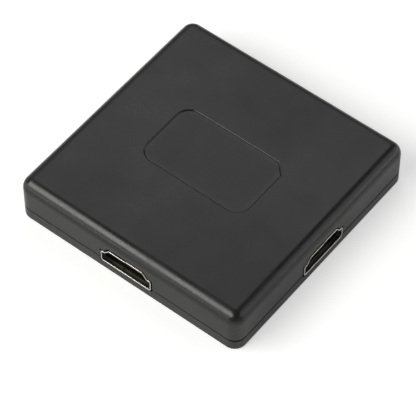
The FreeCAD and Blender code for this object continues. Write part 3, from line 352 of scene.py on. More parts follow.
CASING = moulded(
    "casing_grain", (0.0080, 0.0080, 0.0080), (0.0125, 0.0122, 0.0119),
    roughness=0.335, grain=0.22, depth=0.018, wear=1.0,
)
BUTTON = moulded(
    "button_satin", (0.0075, 0.0075, 0.0075), (0.0115, 0.0114, 0.0112),
    roughness=0.31, grain=0.16, depth=0.006, wear=1.2,
)
BLACK_MOULDING = moulded(
    "socket_insert", (0.010, 0.010, 0.010), (0.018, 0.017, 0.016),
    roughness=0.5, grain=0.2, depth=0.008, wear=0.5,
)
WHITE_MOULDING = moulded(
    "reflector_white", (0.70, 0.69, 0.66), (0.80, 0.79, 0.76),
    roughness=0.5, grain=0.2, depth=0.008, wear=0.3,
)
NATURAL_MOULDING = moulded(
    "plunger_natural", (0.60, 0.57, 0.48), (0.68, 0.65, 0.56),
    roughness=0.45, grain=0.2, depth=0.008, wear=0.3,
)
# The last colour is the painted shade just inside a socket's mouth
NICKEL = plated(
    "nickel_plate", (0.86, 0.825, 0.77), (0.66, 0.61, 0.54),
    roughness=0.22, brush=(0.08, 1.6, 0.08), depth=0.003, mouth_shade=(0.20, 0.19, 0.175),
)
GOLD = plated(
    "gold_flash", (0.92, 0.69, 0.32), (0.80, 0.55, 0.22),
    roughness=0.24, brush=(0.06, 1.2, 0.06), depth=0.003,
)
TIN = plated(
    "tinned_leads", (0.74, 0.74, 0.74), (0.58, 0.58, 0.57),
    roughness=0.34, brush=(0.1, 0.1, 0.1), depth=0.004,
)
SPRING = plated(
    "switch_sheet", (0.72, 0.71, 0.69), (0.6, 0.58, 0.55),
    roughness=0.28, brush=(0.8, 0.06, 0.06), depth=0.003,
)
CAN = plated(
    "can_aluminium", (0.80, 0.80, 0.80), (0.72, 0.72, 0.71),
    roughness=0.3, brush=(0.08, 0.08, 1.4), depth=0.004,
)
BLACK_STEEL = plated(
    "blackened_steel", (0.065, 0.064, 0.066), (0.14, 0.13, 0.125),
    roughness=0.36, brush=(0.1, 0.1, 0.4), depth=0.006,
)
CHIP = resin("chip_resin", (0.012, 0.012, 0.013), (0.03, 0.03, 0.03))
BOARD = laminate()
CAPACITOR = ceramic("capacitor_ceramic", (0.30, 0.20, 0.12), (0.42, 0.30, 0.20))
RESISTOR = ceramic("resistor_glaze", (0.012, 0.012, 0.014), (0.03, 0.03, 0.034))
FILM = film()
CLEAR = clear("light_pipe_clear")


# Meshes

# Points nearer than this are one point, in metres, and faces within this angle are one flat face, in degrees
WELD = 1e-6
FLAT_WITHIN = 0.6


def piece(name, mesh, finish, body, slot, *nodes):
    """A finished piece: its mesh in place, its finish, and any solids that it stands for."""
    made = bpy.data.objects.new(name, mesh)
    scene.collection.objects.link(made)
    if not mesh.materials:
        mesh.materials.append(finish)
    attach(made, body)
    if nodes:
        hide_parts(*nodes)


def baked(holder):
    """The plain mesh that an object and its modifiers give. The object goes."""
    graph = bpy.context.evaluated_depsgraph_get()
    mesh = bpy.data.meshes.new_from_object(holder.evaluated_get(graph))
    mesh.name = holder.name
    bpy.data.objects.remove(holder)
    return mesh


def held(name, mesh):
    """An object that holds a mesh while modifiers work on it."""
    holder = bpy.data.objects.new(name, mesh)
    scene.collection.objects.link(holder)
    return holder


def eased(name, mesh, ease, steps=2, angle=35):
    """A mesh with the edges sharper than an angle rounded off, and its flat faces shaded flat."""
    mesh.polygons.foreach_set("use_smooth", [True] * len(mesh.polygons))
    holder = held(name, mesh)
    if ease:
        bevel = holder.modifiers.new("ease", "BEVEL")
        bevel.width = ease * MM
        bevel.segments = steps
        bevel.limit_method = "ANGLE"
        bevel.angle_limit = math.radians(angle)
        bevel.use_clamp_overlap = False
        bevel.miter_outer = "MITER_ARC"
    normals = holder.modifiers.new("flats", "WEIGHTED_NORMAL")
    normals.keep_sharp = False
    normals.weight = 100
    return baked(holder)


def whole_faces(node):
    """The mesh of a solid with its triangles joined into whole faces."""
    work = bmesh.new()
    work.from_mesh(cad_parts[node].data)
    bmesh.ops.remove_doubles(work, verts=work.verts, dist=WELD)
    bmesh.ops.dissolve_limit(
        work, angle_limit=math.radians(FLAT_WITHIN), verts=work.verts, edges=work.edges, delimit={"SHARP"}
    )
    mesh = bpy.data.meshes.new(node)
    work.to_mesh(mesh)
    work.free()
    return mesh


def dress(node, finish, slot, ease, steps=2, body="casing"):
    """A solid's own shape with eased edges and a finish."""
    piece(f"{node}_finished", eased(node, whole_faces(node), ease, steps), finish, body, slot, node)


def from_lists(name, points, faces):
    """A mesh from points in millimetres."""
    mesh = bpy.data.meshes.new(name)
    mesh.from_pydata([Vector(point) * MM for point in points], [], faces)
    mesh.validate()
    return mesh


def outward(mesh):
    """Joins a mesh's doubled points and turns its faces outwards."""
    work = bmesh.new()
    work.from_mesh(mesh)
    bmesh.ops.remove_doubles(work, verts=work.verts, dist=WELD)
    bmesh.ops.recalc_face_normals(work, faces=work.faces)
    work.to_mesh(mesh)
    work.free()
    return mesh


def ring(radius, height, steps):
    """Points on a circle round the Z axis."""
    angles = [2 * math.pi * step / steps for step in range(steps)]
    return [(radius * math.cos(angle), radius * math.sin(angle), height) for angle in angles]


def bands(rings, steps):
    """The faces between each ring of points and the next."""
    faces = []
    for low in range(0, (rings - 1) * steps, steps):
        for step in range(steps):
            following = (step + 1) % steps
            faces.append((low + step, low + following, low + steps + following, low + steps + step))
    return faces


def tube_faces(rings, steps):
    """The faces of a closed tube: those between its rings, and one at each end."""
    first = tuple(reversed(range(steps)))
    last = tuple(range((rings - 1) * steps, rings * steps))
    return [*bands(rings, steps), first, last]


def thickened(name, sheet, thickness, offset):
    """A sheet with a thickness: all on its inside for offset -1, half on each side for 0."""
    holder = held(name, sheet)
    thick = holder.modifiers.new("thickness", "SOLIDIFY")
    thick.thickness = thickness * MM
    thick.offset = offset
    thick.use_even_offset = True
    return baked(holder)


def joined(name, meshes):
    """Several meshes as one."""
    work = bmesh.new()
    for mesh in meshes:
        work.from_mesh(mesh)
    result = bpy.data.meshes.new(name)
    work.to_mesh(result)
    work.free()
    return result


def moved(mesh, turn=0.0, shift=(0, 0, 0)):
    """A copy of a mesh turned about Z in degrees and then shifted in millimetres."""
    copy = mesh.copy()
    copy.transform(Matrix.Translation(Vector(shift) * MM) @ Matrix.Rotation(math.radians(turn), 4, "Z"))
    return copy


def grown(name, pattern, sizes, finish, unit):
    """The plain mesh that a pattern makes of a unit. Lengths are in millimetres."""
    holder = held(name, unit)
    modifier = holder.modifiers.new(name, "NODES")
    modifier.node_group = pattern.tree
    given = {"Finish": finish, **sizes}
    for item in pattern.tree.interface.items_tree:
        if item.in_out == "INPUT" and item.name in given:
            number = given[item.name]
            modifier[item.identifier] = number * MM if isinstance(number, float) else number
    return baked(holder)


def box_mesh(name, low, high, ease=0.0, steps=2):
    """A block between two corners with eased edges."""
    (x0, y0, z0), (x1, y1, z1) = low, high
    points = [(x, y, z) for z in (z0, z1) for y in (y0, y1) for x in (x0, x1)]
    faces = [(0, 2, 3, 1), (4, 5, 7, 6), (0, 1, 5, 4), (2, 6, 7, 3), (0, 4, 6, 2), (1, 3, 7, 5)]
    return eased(name, from_lists(name, points, faces), ease, steps)


def bent_path(corners, radii, steps=4):
    """A line through corners with each inner corner rounded by its own radius."""
    corners = [Vector(corner) for corner in corners]
    path = [corners[0]]
    for before, corner, after, radius in zip(corners, corners[1:], corners[2:], radii):
        back = (before - corner).normalized()
        on = (after - corner).normalized()
        half = back.angle(on) / 2
        reach = radius / math.tan(half)
        centre = corner + (back + on).normalized() * (radius / math.sin(half))
        start = corner + back * reach - centre
        end = corner + on * reach - centre
        sweep = start.angle(end)
        for step in range(steps + 1):
            share = step / steps
            first = math.sin((1 - share) * sweep) / math.sin(sweep)
            second = math.sin(share * sweep) / math.sin(sweep)
            path.append(centre + start * first + end * second)
    path.append(corners[-1])
    return path


def strip_mesh(name, path, thick, width, ease):
    """A flat strip that follows a path in the YZ plane, centred on X."""
    rims = []
    for index, point in enumerate(path):
        before = path[max(index - 1, 0)]
        after = path[min(index + 1, len(path) - 1)]
        along = (after - before).normalized()
        rims.append((point, Vector((-along.y, along.x)) * thick / 2))
    points = []
    for point, side in rims:
        for across, sign in ((-1, 1), (1, 1), (1, -1), (-1, -1)):
            place = point + side * sign
            points.append((across * width / 2, place.x, place.y))
    sheet = from_lists(name, points, tube_faces(len(rims), 4))
    return eased(name, outward(sheet), ease, steps=1, angle=50)


def turned_mesh(name, profile, steps=48):
    """A profile of radius and height turned round the Z axis."""
    points = [point for radius, height in profile for point in ring(radius, height, steps)]
    return outward(from_lists(name, points, tube_faces(len(profile), steps)))


# Patterns that repeat a unit

# Radians from one screw to the next, the thread's steps and its ridge by its pitch, and the holes' drift
SCREW_TURN = 1.1
THREAD_STEPS = 28
RIDGE_SHARE = 0.34
VIA_SHIFT = 0.6


def rows_on_sides():
    """Rows of a unit, one on each side of a centre. Each row runs along X before it is turned."""
    web = Pattern("rows_on_sides")
    count = web.size("Count", int)
    pitch = web.size("Pitch")
    sides = web.size("Sides", int)
    distance = web.size("Distance")
    start = web.vector((count - 1) * pitch * -0.5, distance, 0.0)
    line = web.node("GeometryNodeMeshLine", {"mode": "OFFSET"}, {
        "Count": count, "Start Location": start, "Offset": web.vector(pitch),
    })
    row = web.node("GeometryNodeInstanceOnPoints", {}, {"Points": line, "Instance": web.given("Unit")})
    whole_row = web.node("GeometryNodeGeometryToInstance", {}, {"Geometry": row})
    hub = web.node("GeometryNodeMeshLine", {"mode": "OFFSET"}, {"Count": sides, "Offset": (0, 0, 0)})
    turn = web.node("GeometryNodeInputIndex") * (2 * math.pi) / sides
    return web.end(web.node("GeometryNodeInstanceOnPoints", {}, {
        "Points": hub, "Instance": whole_row, "Rotation": web.vector(0.0, 0.0, turn),
    }))


def threaded_screws():
    """A screw blank with a wound thread, repeated at the corners of a square."""
    web = Pattern("threaded_screws")
    spacing = web.size("Spacing")
    crest = web.size("Crest Radius")
    pitch = web.size("Thread Pitch")
    length = web.size("Thread Length")
    start = web.size("Thread Start")
    wound = web.node("GeometryNodeCurveSpiral", {}, {
        "Resolution": THREAD_STEPS, "Rotations": length / pitch, "Start Radius": crest,
        "End Radius": crest, "Height": length, "Reverse": False,
    })
    ridge = web.node("GeometryNodeCurvePrimitiveCircle", {"mode": "RADIUS"}, {
        "Resolution": 3, "Radius": pitch * RIDGE_SHARE,
    })
    raised = web.node("GeometryNodeTransform", {}, {
        "Geometry": wound, "Translation": web.vector(0.0, 0.0, start),
    })
    thread = web.node("GeometryNodeCurveToMesh", {}, {
        "Curve": raised, "Profile Curve": ridge, "Fill Caps": True,
    })
    both = web.tree.nodes.new("GeometryNodeJoinGeometry")
    web.tree.links.new(thread.socket, both.inputs[0])
    web.tree.links.new(web.given("Unit").socket, both.inputs[0])
    corners = web.node("GeometryNodeMeshGrid", {}, {
        "Size X": spacing, "Size Y": spacing, "Vertices X": 2, "Vertices Y": 2,
    })
    turn = web.node("GeometryNodeInputIndex") * SCREW_TURN
    return web.end(web.node("GeometryNodeInstanceOnPoints", {}, {
        "Points": corners, "Instance": Link(web, both.outputs[0]), "Rotation": web.vector(0.0, 0.0, turn),
    }))


def scattered_vias():
    """A unit at some points of a fine grid, picked by a fixed seed."""
    web = Pattern("scattered_vias")
    breadth = web.size("Span")
    steps = web.size("Steps", int)
    share = web.size("Share Left Out", int)
    grid = web.node("GeometryNodeMeshGrid", {}, {
        "Size X": breadth, "Size Y": breadth, "Vertices X": steps, "Vertices Y": steps,
    })
    chance = web.node("FunctionNodeRandomValue", {"data_type": "INT"}, {"Min": 0, "Max": 99, "Seed": 7}, 2)
    jitter = web.node("FunctionNodeRandomValue", {"data_type": "FLOAT_VECTOR"}, {
        "Min": (-VIA_SHIFT * MM, -VIA_SHIFT * MM, 0), "Max": (VIA_SHIFT * MM, VIA_SHIFT * MM, 0), "Seed": 3,
    })
    picked = web.node("FunctionNodeCompare", {"data_type": "INT", "operation": "GREATER_EQUAL"}, {
        2: chance, 3: share,
    })
    shifted = web.node("GeometryNodeSetPosition", {}, {"Geometry": grid, "Offset": jitter})
    return web.end(web.node("GeometryNodeInstanceOnPoints", {}, {
        "Points": shifted, "Selection": picked, "Instance": web.given("Unit"),
    }))


ROWS = rows_on_sides()
SCREWS = threaded_screws()
VIAS = scattered_vias()


# Casing

dress("upper_shell", CASING, "case_plastic", ease=0.11)
dress("bottom_cover", CASING, "case_plastic", ease=0.11)
dress("label_film", FILM, "label_film", ease=0.04)


# Case screws

HEAD_RADIUS = 1.9
CORE_RADIUS = 0.76
SCREW_FACE = span("case_screws", 2)[0]
SCREW_SPACING = 2 * (span("case_screws", 0)[1] - HEAD_RADIUS)

# Radius and height above the face of the head
HEAD_PROFILE = (
    (0.0, 0.0), (1.15, 0.0), (1.5, 0.03), (1.72, 0.12), (1.86, 0.28),
    (HEAD_RADIUS, 0.5), (HEAD_RADIUS, 1.3), (1.84, 1.4),
)
SHANK_PROFILE = ((0.86, 1.4), (CORE_RADIUS, 1.5), (CORE_RADIUS, 8.4), (0.68, 8.75), (0.0, 9.38))

# The driver's cross, with its height above the face and its scale at the rim and at the floor
CROSS_HALF_WIDTH = 0.24
CROSS_REACH = 1.12
CROSS_RIM = (-0.1, 1.08)
CROSS_FLOOR = (1.02, 0.72)


def driver_cross():
    """A tapered cross that cuts the driver's recess into a screw's head."""
    near, far = CROSS_HALF_WIDTH, CROSS_REACH
    outline = [
        (near, near), (near, far), (-near, far), (-near, near), (-far, near), (-far, -near),
        (-near, -near), (-near, -far), (near, -far), (near, -near), (far, -near), (far, near),
    ]
    points = []
    for height, scale in (CROSS_RIM, CROSS_FLOOR):
        points += [(x * scale, y * scale, SCREW_FACE + height) for x, y in outline]
    return held("driver_cross", outward(from_lists("driver_cross", points, tube_faces(2, len(outline)))))


def screw_blank():
    """Head, core and point of a case screw with its cross recess, head down."""
    profile = [(radius, SCREW_FACE + height) for radius, height in (*HEAD_PROFILE, *SHANK_PROFILE)]
    blank = held("screw_blank", turned_mesh("screw_blank", profile))
    cutter = driver_cross()
    cut = blank.modifiers.new("cross", "BOOLEAN")
    cut.operation = "DIFFERENCE"
    cut.object = cutter
    cut.solver = "EXACT"
    mesh = baked(blank)
    bpy.data.objects.remove(cutter)
    mesh.materials.clear()
    return eased("screw_blank", mesh, ease=0.03, steps=1, angle=40)


case_screws = grown("case_screws", SCREWS, {
    "Spacing": SCREW_SPACING, "Crest Radius": 0.79,
    "Thread Pitch": 0.8, "Thread Length": 6.6, "Thread Start": 2.9,
}, BLACK_STEEL, screw_blank())
piece("case_screws_threaded", case_screws, BLACK_STEEL, "casing", "screw_steel", "case_screws")


# Sockets: the front one is made, and the others are turned copies of it

SIDES = (("front", 0), ("right", 90), ("left", -90))
SHELL_LENGTH = MOUTH + span("socket_shell_front", 1)[1]
SHELL_LOW, TAB_TOP = span("socket_shell_front", 2)
SHELL_HALF_WIDTH = span("socket_shell_front", 0)[1]
SHOULDER_WIDTH = 1.0
SHOULDER_RISE = 3.45
SHELL_HALF_NECK = SHELL_HALF_WIDTH - SHOULDER_WIDTH
SHELL_SHOULDER = SHELL_LOW + SHOULDER_RISE
SHELL_SLANT = math.radians(52)
SHELL_HALF_CROWN = SHELL_HALF_NECK - (BOARD_UNDER - SHELL_SHOULDER) / math.tan(SHELL_SLANT)
RIGHT_BENDS = (0.9, 0.35, 0.45, 0.75)
LEFT_BENDS = (0.6, 0.35, 0.45, 0.75)
SHEET = 0.3

# The slit where the sheet meets itself, with the step and the interlocking key between its lips
SLIT_HALF = 0.06
SLIT_STEP = 0.2
KEY_REACH = 1.2
KEY_NEAR = 3.2
KEY_FAR = 5.6

# The spring fingers, whose tips are nearest to the mouth, and the sheet's rows that shape their curve
FINGER_TIP = 2.85
FINGER_ROOT = 7.2
FINGER_INNER = 2.55
FINGER_OUTER = 4.25
FINGER_SLOT = 0.25
FINGER_DIP = 0.36
FINGER_LIFT = 0.26
FINGER_CREST = 0.78
FINGER_SWELL = 1.5
CURVE_ROWS = (1.3, 3.7, 4.1, 4.5, 4.9, 5.3, 6.1, 6.65, 8.6, 10.0)

# The tabs that are soldered in the board
TAB_STARTS = (3.4, 9.0)
TAB_LENGTH = 1.4
TAB_INSET = 0.02
TAB_STRAIGHT = 0.25
TAB_TAPER = 0.72

# The tongue and its contacts
TONGUE_TIP, INSULATOR_BACK = span("socket_insulator_front", 1)
TONGUE_MIDDLE = (SHELL_LOW + BOARD_UNDER) / 2
TONGUE_THICK = 1.1
CONTACT_THICK = 0.15
CONTACT_WIDTH = 0.3
CONTACT_PITCH = 1.0
CONTACT_SETBACK = 0.6
CONTACT_NOSE = 0.25
CONTACT_TUCK = 0.05
CONTACT_STRAIGHT = 1.0
CONTACT_GAP = 0.3
CONTACT_FOOT = 0.75
CONTACT_BEND = 0.14


def half_loop(bends):
    """Half of the shell's outline, from the slit down to the middle of the wide side, as (x, z)."""
    corners = [
        (SHELL_HALF_CROWN, BOARD_UNDER), (SHELL_HALF_NECK, SHELL_SHOULDER),
        (SHELL_HALF_WIDTH, SHELL_SHOULDER), (SHELL_HALF_WIDTH, SHELL_LOW),
    ]
    path = bent_path([(SLIT_HALF, BOARD_UNDER), *corners, (0.0, SHELL_LOW)], bends, steps=5)
    stops = [
        FINGER_INNER - FINGER_SLOT, FINGER_INNER, (FINGER_INNER + FINGER_OUTER) / 2,
        FINGER_OUTER, FINGER_OUTER + FINGER_SLOT,
    ]
    top_stops = [(x, BOARD_UNDER) for x in (KEY_REACH + SLIT_HALF, *stops)]
    low_stops = [(x, SHELL_LOW) for x in reversed(stops)]
    start, *turns, end = [tuple(point) for point in path]
    return [start, *top_stops, *turns, *low_stops, end]


def socket_loop():
    """The shell's outline from one lip of its slit round to the other, as (x, z)."""
    return half_loop(RIGHT_BENDS) + [(-x, z) for x, z in half_loop(LEFT_BENDS)[-2::-1]]


def finger_dip(along):
    """How far a spring finger dips inwards at a distance from the mouth."""
    share = (FINGER_ROOT - along) / (FINGER_ROOT - FINGER_TIP)
    if not 0 < share < 1 + HAIR:
        return 0.0
    if share < FINGER_CREST:
        return FINGER_DIP * math.sin(share / FINGER_CREST * math.pi / 2) ** FINGER_SWELL
    return FINGER_DIP - FINGER_LIFT * (share - FINGER_CREST) / (1 - FINGER_CREST)


def is_flat(z):
    """Whether a height is that of the shell's narrow or wide side."""
    return min(abs(z - BOARD_UNDER), abs(z - SHELL_LOW)) < HAIR


def is_open(x, z, along):
    """Whether the sheet is cut away: in the key's notch, and in the slots round the fingers."""
    across = abs(x)
    slot_start = FINGER_TIP - FINGER_SLOT
    slot_inner = FINGER_INNER - FINGER_SLOT
    slot_outer = FINGER_OUTER + FINGER_SLOT
    if not is_flat(z):
        return False
    if z > TONGUE_MIDDLE and SLIT_HALF < x < KEY_REACH + SLIT_HALF:
        return KEY_NEAR - SLIT_HALF < along < KEY_FAR + SLIT_HALF
    if slot_start < along < FINGER_TIP:
        return slot_inner < across < slot_outer
    beside = slot_inner < across < FINGER_INNER or FINGER_OUTER < across < slot_outer
    return beside and FINGER_TIP < along < FINGER_ROOT


def sheet_height(x, z, along):
    """The height of the sheet at a place: dipped at a finger, and stepped down left of the slit."""
    on_finger = is_flat(z) and FINGER_INNER - HAIR < abs(x) < FINGER_OUTER + HAIR
    dip = finger_dip(along) if on_finger and along > FINGER_TIP - HAIR else 0.0
    if x < 0 and z > SHELL_SHOULDER:
        dip += SLIT_STEP * (z - SHELL_SHOULDER) / (BOARD_UNDER - SHELL_SHOULDER)
    return z - dip if z > TONGUE_MIDDLE else z + dip


def socket_sheet():
    """The front socket's shell: one folded sheet with its keyed slit and four sprung fingers."""
    loop = socket_loop()
    cuts = [FINGER_TIP - FINGER_SLOT, FINGER_TIP, FINGER_ROOT]
    cuts += [end + side * SLIT_HALF for end in (KEY_NEAR, KEY_FAR) for side in (-1, 1)]
    rows = sorted([0.0, *cuts, *CURVE_ROWS, SHELL_LENGTH])
    points = [(x, along - MOUTH, sheet_height(x, z, along)) for along in rows for x, z in loop]
    width = len(loop)
    faces = []
    for row in range(len(rows) - 1):
        for column in range(width - 1):
            x, z = ((loop[column][axis] + loop[column + 1][axis]) / 2 for axis in (0, 1))
            low = row * width + column
            if not is_open(x, z, (rows[row] + rows[row + 1]) / 2):
                faces.append((low, low + width, low + width + 1, low + 1))
    first = len(points)
    key_rows = [row for row, along in enumerate(rows) if KEY_NEAR < along < KEY_FAR]
    points += [(KEY_REACH - SLIT_HALF, rows[row] - MOUTH, BOARD_UNDER - SLIT_STEP) for row in key_rows]
    for step, row in enumerate(key_rows[:-1]):
        lip = row * width + width - 1
        faces.append((lip, lip + width, first + step + 1, first + step))
    sheet = from_lists("socket_sheet", points, faces)
    work = bmesh.new()
    work.from_mesh(sheet)
    loose = [vert for vert in work.verts if not vert.link_faces]
    bmesh.ops.delete(work, geom=loose, context="VERTS")
    work.normal_update()
    if max(work.faces, key=lambda face: face.calc_center_median().z).normal.z < 0:
        bmesh.ops.reverse_faces(work, faces=work.faces)
    work.to_mesh(sheet)
    work.free()
    return eased("socket_sheet", thickened("socket_sheet", sheet, SHEET, -1), ease=0.07, angle=50)


def solder_tabs():
    """The four tabs of a shell that pass through the board, tapered at their ends."""
    tabs = []
    inner = SHELL_HALF_WIDTH - SHEET + TAB_INSET
    outer = SHELL_HALF_WIDTH - TAB_INSET
    for left, right in ((-outer, -inner), (inner, outer)):
        for start in TAB_STARTS:
            low = (left, start + HAIR - MOUTH, TONGUE_MIDDLE)
            high = (right, start + TAB_LENGTH - HAIR - MOUTH, TAB_TOP - HAIR)
            middle = (low[1] + high[1]) / 2 * MM
            tab = box_mesh("solder_tab", low, high, ease=0.09)
            for vert in tab.vertices:
                if vert.co.z > (BOARD_TOP + TAB_STRAIGHT) * MM:
                    vert.co.y = middle + (vert.co.y - middle) * TAB_TAPER
            tabs.append(tab)
    return tabs


def contact_rows():
    """The front socket's contacts: ten sprung strips above the tongue and nine below it."""
    rows = []
    nose = TONGUE_TIP + CONTACT_SETBACK
    riser = INSULATOR_BACK + CONTACT_GAP + CONTACT_THICK / 2
    top = BOARD_UNDER - CONTACT_THICK / 2
    for count, side in ((10, 1), (9, -1)):
        level = TONGUE_MIDDLE + side * (TONGUE_THICK + CONTACT_THICK) / 2
        path = [Vector((nose, level - side * CONTACT_TUCK)), Vector((nose + CONTACT_NOSE, level))]
        foot = riser + CONTACT_FOOT
        corners = [(nose + CONTACT_STRAIGHT, level), (riser, level), (riser, top), (foot, top)]
        path += bent_path(corners, (CONTACT_BEND, CONTACT_BEND), steps=3)
        unit = strip_mesh("contact", path, CONTACT_THICK, CONTACT_WIDTH, ease=0.03)
        sizes = {"Count": count, "Pitch": CONTACT_PITCH, "Sides": 1, "Distance": 0.0}
        rows.append(grown("contact_row", ROWS, sizes, GOLD, unit))
    return joined("socket_contacts", rows)


shell_mesh = joined("socket_shell", [socket_sheet(), *solder_tabs()])
contact_mesh = contact_rows()
for side, turn in SIDES:
    shell = f"socket_shell_{side}"
    contacts = f"socket_contacts_{side}"
    piece(f"{shell}_folded", moved(shell_mesh, turn), NICKEL, "casing", "nickel_plate", shell)
    piece(f"{contacts}_sprung", moved(contact_mesh, turn), GOLD, "casing", "gold_plate", contacts)
    dress(f"socket_insulator_{side}", BLACK_MOULDING, "socket_plastic", ease=0.05, steps=1)


# Select button, its switch and the status lights

dress("select_button", BUTTON, "button_plastic", ease=0.07, body="button")
dress("tact_switch_plunger", NATURAL_MOULDING, "plunger_plastic", ease=0.06, body="button")
dress("tact_switch_housing", BLACK_MOULDING, "switch_plastic", ease=0.06)
dress("tact_switch_frame", SPRING, "switch_sheet", ease=0.04)
dress("tact_switch_dome", SPRING, "switch_sheet", ease=0.0)
dress("tact_switch_pins", TIN, "tinned_metal", ease=0.05)
for side in ("left", "right"):
    dress(f"status_led_{side}", WHITE_MOULDING, "light_body", ease=0.05)
    dress(f"light_pipe_{side}", CLEAR, "clear_plastic", ease=0.08)


# Circuit board and what is soldered to it

VIA_OUTER = 0.3
VIA_INNER = 0.16
VIA_CORNERS = 10
VIA_LIFT = 0.02
LEAD_THICK = 0.15
LEAD_START = -0.3
LEAD_KNEE = 0.425
LEAD_REACH = 1.0
LEAD_BEND = 0.12


def via_ring():
    """The copper ring of a plated hole."""
    level = BOARD_TOP + VIA_LIFT
    points = ring(VIA_OUTER, level, VIA_CORNERS) + ring(VIA_INNER, level, VIA_CORNERS)
    return thickened("via_ring", from_lists("via_ring", points, bands(2, VIA_CORNERS)), 2 * VIA_LIFT, 0)


dress("circuit_board", BOARD, "board_laminate", ease=0.05, steps=1)
vias = grown("board_vias", VIAS, {"Span": 44.0, "Steps": 19, "Share Left Out": 55}, GOLD, via_ring())
piece("board_vias", vias, GOLD, "casing", "gold_plate")
for chip in ("switch_chip", "control_chip", "voltage_regulator", "protection_arrays", "supply_diodes"):
    dress(chip, CHIP, "chip_resin", ease=0.06)
dress("bulk_capacitor_base", CHIP, "chip_resin", ease=0.1)
dress("bulk_capacitor_can", CAN, "can_aluminium", ease=0.0)
dress("ceramic_capacitors", CAPACITOR, "capacitor_ceramic", ease=0.07)
dress("chip_resistors", RESISTOR, "resistor_ceramic", ease=0.05)
for caps in ("diode_ends", "capacitor_ends", "resistor_ends"):
    dress(caps, TIN, "tinned_metal", ease=0.08)


def bent_leads(chip, count, pitch, width, sides=1, turn=0):
    """Rows of bent leads from half the height of a chip: out of it, up to the board and outwards."""
    across, along, level = (sum(span(chip, axis)) / 2 for axis in range(3))
    top = BOARD_UNDER - LEAD_THICK / 2
    corners = [(LEAD_START, level), (LEAD_KNEE, level), (LEAD_KNEE, top), (LEAD_REACH, top)]
    path = bent_path(corners, (LEAD_BEND, LEAD_BEND), steps=3)
    unit = strip_mesh("lead", path, LEAD_THICK, width, ease=0.02)
    distance = span(chip, 1)[1] - along
    sizes = {"Count": count, "Pitch": pitch, "Sides": sides, "Distance": distance}
    return moved(grown(f"{chip}_row", ROWS, sizes, TIN, unit), turn, (across, along, 0))


regulator_leads = [
    bent_leads("voltage_regulator", count=3, pitch=2.3, width=0.7, turn=180),
    bent_leads("voltage_regulator", count=1, pitch=0.0, width=3.0),
]
for name, leads in (
    ("switch_chip_leads", bent_leads("switch_chip", count=16, pitch=0.5, width=0.22, sides=4)),
    ("control_chip_leads", bent_leads("control_chip", count=4, pitch=1.27, width=0.42, sides=2)),
    ("regulator_leads", joined("regulator_leads", regulator_leads)),
):
    piece(f"{name}_bent", leads, TIN, "casing", "tinned_metal", name)


# Floor, light and camera

FLOOR_HALF = 900.0
FLOOR_GAP = 0.05
FLOOR_GLOW = 0.50
FLOOR_SHARE = 0.38
ROOM_LEVEL = 0.04
CAMERA_AZIMUTH = 38.204
CAMERA_ELEVATION = 53.29
CAMERA_ROLL = 0.023
CAMERA_DISTANCE = 578.04
CAMERA_ACROSS = 1.149
CAMERA_UP = 7.008
SENSOR_WIDTH = 36
FOCAL_PIXELS = 2489.86
PICTURE_PIXELS = 416

# Name, azimuth, elevation, distance, width, height, power and tint
LAMPS = (
    ("key", -30, 43.5, 0.9, 0.90, 0.50, 7.7, (1.0, 1.0, 0.95)),
    ("back", 217, 52, 1.0, 0.60, 0.50, 1.13),
    ("back_low", 225, 28, 1.0, 1.50, 0.28, 0.7),
    ("side", 125, 30, 1.0, 1.15, 0.66, 2.35),
    ("side_low", 142, 9, 1.0, 1.00, 0.24, 1.2),
    ("front_low", -38, 20, 1.0, 0.90, 0.34, 0.47),
    ("front_floor", -40, 7, 1.0, 1.00, 0.20, 1.48),
    ("right_low", 66, 16, 1.0, 0.90, 0.30, 0.36),
)


def heading(azimuth, elevation):
    """The direction from the box to a place. Azimuth 0 is at the front, 90 at the right."""
    turn, rise = math.radians(azimuth), math.radians(elevation)
    return Vector((math.sin(turn) * math.cos(rise), -math.cos(turn) * math.cos(rise), math.sin(rise)))


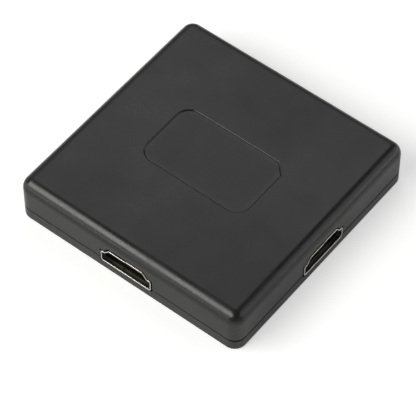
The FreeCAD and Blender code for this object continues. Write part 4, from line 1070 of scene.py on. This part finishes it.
def floor():
    """A pale floor that goes to white round the box, keeps its soft shadow, and is clear from below."""
    corners = [(x * FLOOR_HALF, y * FLOOR_HALF, -FLOOR_GAP) for x, y in ((-1, -1), (1, -1), (1, 1), (-1, 1))]
    mesh = from_lists("floor", corners, [(0, 1, 2, 3)])
    material = bpy.data.materials.new("pale_floor")
    material.use_nodes = True
    web = Web(material.node_tree)
    texture = web.node("ShaderNodeTexNoise", {}, {"Scale": 40.0, "Detail": 3.0})
    shade = web.node("ShaderNodeBsdfDiffuse", {}, {
        "Color": (0.70, 0.70, 0.70, 1), "Roughness": texture * 0.2,
    })
    seen, glossy, through = (
        web.node("ShaderNodeLightPath", output=ray)
        for ray in ("Is Camera Ray", "Is Glossy Ray", "Is Transmission Ray")
    )
    direct = web.maths("MAXIMUM", web.maths("MAXIMUM", seen, glossy * FLOOR_SHARE), through)
    glow = web.node("ShaderNodeEmission", {}, {"Color": (1, 1, 1, 1), "Strength": direct * FLOOR_GLOW})
    both = web.node("ShaderNodeAddShader", {}, {0: shade, 1: glow})
    clear_side = web.node("ShaderNodeBsdfTransparent", {}, {"Color": (1, 1, 1, 1)})
    below = web.node("ShaderNodeNewGeometry", output="Backfacing")
    whole = web.node("ShaderNodeMixShader", {}, {0: below, 1: both, 2: clear_side})
    web.close("ShaderNodeOutputMaterial", whole)
    made = bpy.data.objects.new("floor", mesh)
    mesh.materials.append(material)
    scene.collection.objects.link(made)


def surroundings():
    """A studio of soft grey that the camera sees as white."""
    world = bpy.data.worlds.new("studio")
    world.use_nodes = True
    scene.world = world
    web = Web(world.node_tree)
    seen = web.node("ShaderNodeLightPath", output="Is Camera Ray")
    strength = seen * (1.0 - ROOM_LEVEL) + ROOM_LEVEL
    light = web.node("ShaderNodeBackground", {}, {"Color": (1, 1, 1, 1), "Strength": strength})
    web.close("ShaderNodeOutputWorld", light)


def softbox(name, azimuth, elevation, distance, width, height, power, tint=(1.0, 1.0, 1.0)):
    """A soft rectangular lamp that looks at the box. Lengths in metres, power in watts."""
    lamp = bpy.data.lights.new(name, "AREA")
    lamp.shape = "RECTANGLE"
    lamp.size = width
    lamp.size_y = height
    lamp.energy = power
    lamp.color = tint
    made = bpy.data.objects.new(name, lamp)
    away = heading(azimuth, elevation)
    made.location = away * distance
    made.rotation_euler = away.to_track_quat("Z", "Y").to_euler()
    scene.collection.objects.link(made)


def camera():
    """The camera at the photograph's angle: a long lens, a little off the middle of the box."""
    back = heading(CAMERA_AZIMUTH, CAMERA_ELEVATION)
    right = Vector((0, 0, 1)).cross(back).normalized()
    over = back.cross(right)
    roll = math.radians(CAMERA_ROLL)
    across = right * math.cos(roll) + over * math.sin(roll)
    up = over * math.cos(roll) - right * math.sin(roll)
    middle = Vector((0, 0, BOX_HEIGHT / 2))
    place = middle + back * CAMERA_DISTANCE - across * CAMERA_ACROSS - up * CAMERA_UP
    data = bpy.data.cameras.new("camera")
    data.sensor_width = SENSOR_WIDTH
    data.lens = FOCAL_PIXELS / PICTURE_PIXELS * SENSOR_WIDTH
    data.clip_start = 0.01
    data.clip_end = 10
    made = bpy.data.objects.new("camera", data)
    turned = Matrix((across, up, back)).transposed().to_4x4()
    made.matrix_world = Matrix.Translation(place * MM) @ turned
    scene.collection.objects.link(made)
    scene.camera = made


floor()
surroundings()
for lamp in LAMPS:
    softbox(*lamp)
camera()
scene.view_settings.view_transform = "Standard"
